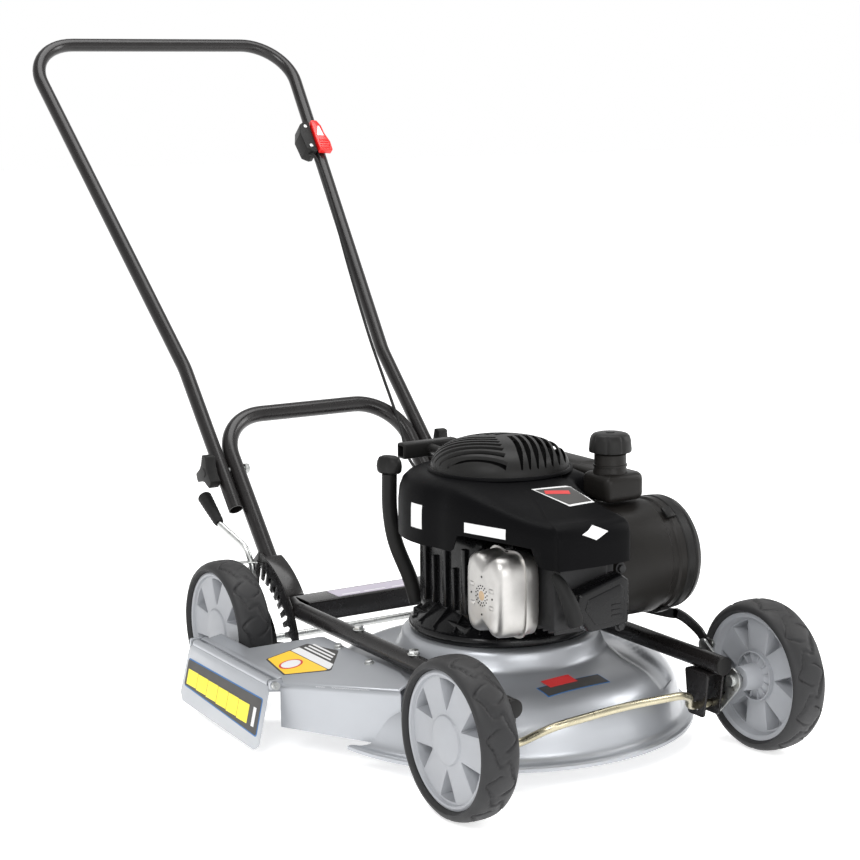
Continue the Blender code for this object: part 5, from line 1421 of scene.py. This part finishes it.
# ---------------------------------------------------------------- labels on the engine and the deck
def decal(name, target, centre, right, up, corners, lift, paint, cells=14):
    """A thin sticker: a flat outline laid on to a curved piece, given by its corners, clockwise."""
    right = Vector(right).normalized()
    normal = right.cross(Vector(up)).normalized()
    up = normal.cross(right)
    a, b, c, d = (Vector(corner) for corner in corners)
    bm = bmesh.new()
    grid = []
    for i in range(cells + 1):
        row = []
        for j in range(cells + 1):
            flat = a.lerp(b, i / cells).lerp(d.lerp(c, i / cells), j / cells)
            start = CHASSIS @ (Vector(centre) + right * flat.x + up * flat.y + normal * 0.03)
            ahead = CHASSIS.to_3x3() @ -normal
            _, spot, outward, _ = target.ray_cast(start, ahead, distance=0.08)
            row.append(bm.verts.new(TO_CHASSIS @ (spot + outward * lift)))
        grid.append(row)
    for i in range(cells):
        for j in range(cells):
            bm.faces.new((grid[i][j], grid[i + 1][j], grid[i + 1][j + 1], grid[i][j + 1]))
    made = raw_object(name, bm)
    if sum((f.normal.dot(normal) for f in made.data.polygons)) < 0:
        made.data.flip_normals()
    skin = made.modifiers.new("skin", "SOLIDIFY")
    skin.thickness = 0.0002
    skin.offset = 0
    settle(made)
    adopt(made, paint, smooth=60)


def facing_panel(half_wide, high, low=None):
    """A label's corners, clockwise from its top left."""
    low = high if low is None else low
    return [(-half_wide, high), (half_wide, high), (half_wide, -low), (-half_wide, -low)]


def resized(corners, wide, tall, shift=(0.0, 0.0)):
    return [(x * wide + shift[0], y * tall + shift[1]) for x, y in corners]


def make_labels(cover):
    """Blank, generic stickers where the mower carries its labels."""
    bpy.context.view_layer.update()
    deck = bpy.data.objects["deck_shell"]
    shoulder = (cover, (-0.004, 0.118, 0.245), (0.90, -0.42, 0.05), (0.10, 0.55, 0.80))
    plate = [(-0.036, 0.017), (0.020, 0.026), (0.040, -0.014), (0.004, -0.024)]
    upright = (0.0, 0.0, 1.0)
    badge = [(-0.020, 0.000), (0.000, 0.0085), (0.020, 0.000), (0.000, -0.0085)]
    slope = ((1, 0.04, 0), (0, 0.90, 0.35))
    front = (deck, (-0.010, 0.080, 0.010), *slope)
    wide = facing_panel(0.050, 0.013)
    for name, place, corners, lift, paint in (
            ("cover_plate_edge", shoulder, plate, 0.0005, "label_white"),
            ("cover_plate", shoulder, resized(plate, 0.90, 0.84, (0.0005, 0.0)), 0.0009, "label_grey"),
            ("cover_stripe", shoulder, resized(facing_panel(0.03, 0.02), 0.55, 0.20, (-0.004, 0.008)), 0.0012,
             "label_red"),
            ("cover_label_square", (cover, (-0.130, 0.258, 0.213), (0.0, -1.0, 0.0), upright),
             facing_panel(0.012, 0.016), 0.0004, "label_white"),
            ("cover_label_strip", (cover, (-0.110, 0.135, 0.212), (0.25, -1, 0), upright),
             facing_panel(0.034, 0.0065), 0.0004, "label_white"),
            ("cover_badge", (cover, (-0.020, 0.022, 0.219), (1, 0, 0), upright), badge, 0.0004,
             "label_white"),
            ("deck_label_edge", front, wide, 0.0003, "label_blue"),
            ("deck_label", front, resized(wide, 0.975, 0.90), 0.0006, "label_grey"),
            ("deck_label_accent", (deck, (-0.022, 0.094, 0.010), *slope),
             facing_panel(0.022, 0.012, 0.0085), 0.0009,
             "label_red")):
        decal(name, *place, corners, lift, paint)


# ---------------------------------------------------------------- CAD nodes that stay
def finish_cad_nodes():
    """Better materials for the CAD nodes whose shape stays."""
    paints = {
        "handle_bolt_right": "zinc", "handle_bolt_left": "zinc", "carburettor": "casting",
        "air_filter_element": "foam", "crankshaft": "blade", "flywheel": "casting", "blade_disc": "blade",
        "blade_1": "blade", "blade_2": "blade", "blade_bolt": "zinc",
    }
    for node, paint in paints.items():
        made = frame["nodes"][node]
        made.data.materials.clear()
        made.data.materials.append(FINISH[paint])


make_camera()
make_stage()
make_tubes()
make_knobs()
make_throttle()
make_cable()
make_wheels()
make_hubs()
make_axles()
make_link()
make_quadrant()
make_hangers()
make_lever()
make_cross_member()
make_deck()
make_chute()
make_flap()
make_rail_bolts()
make_crankcase()
make_cylinder()
engine_cover = make_cover()
make_dome()
make_starter()
make_muffler()
make_tank()
make_air_cleaner()
make_fittings()
make_labels(engine_cover)
finish_cad_nodes()
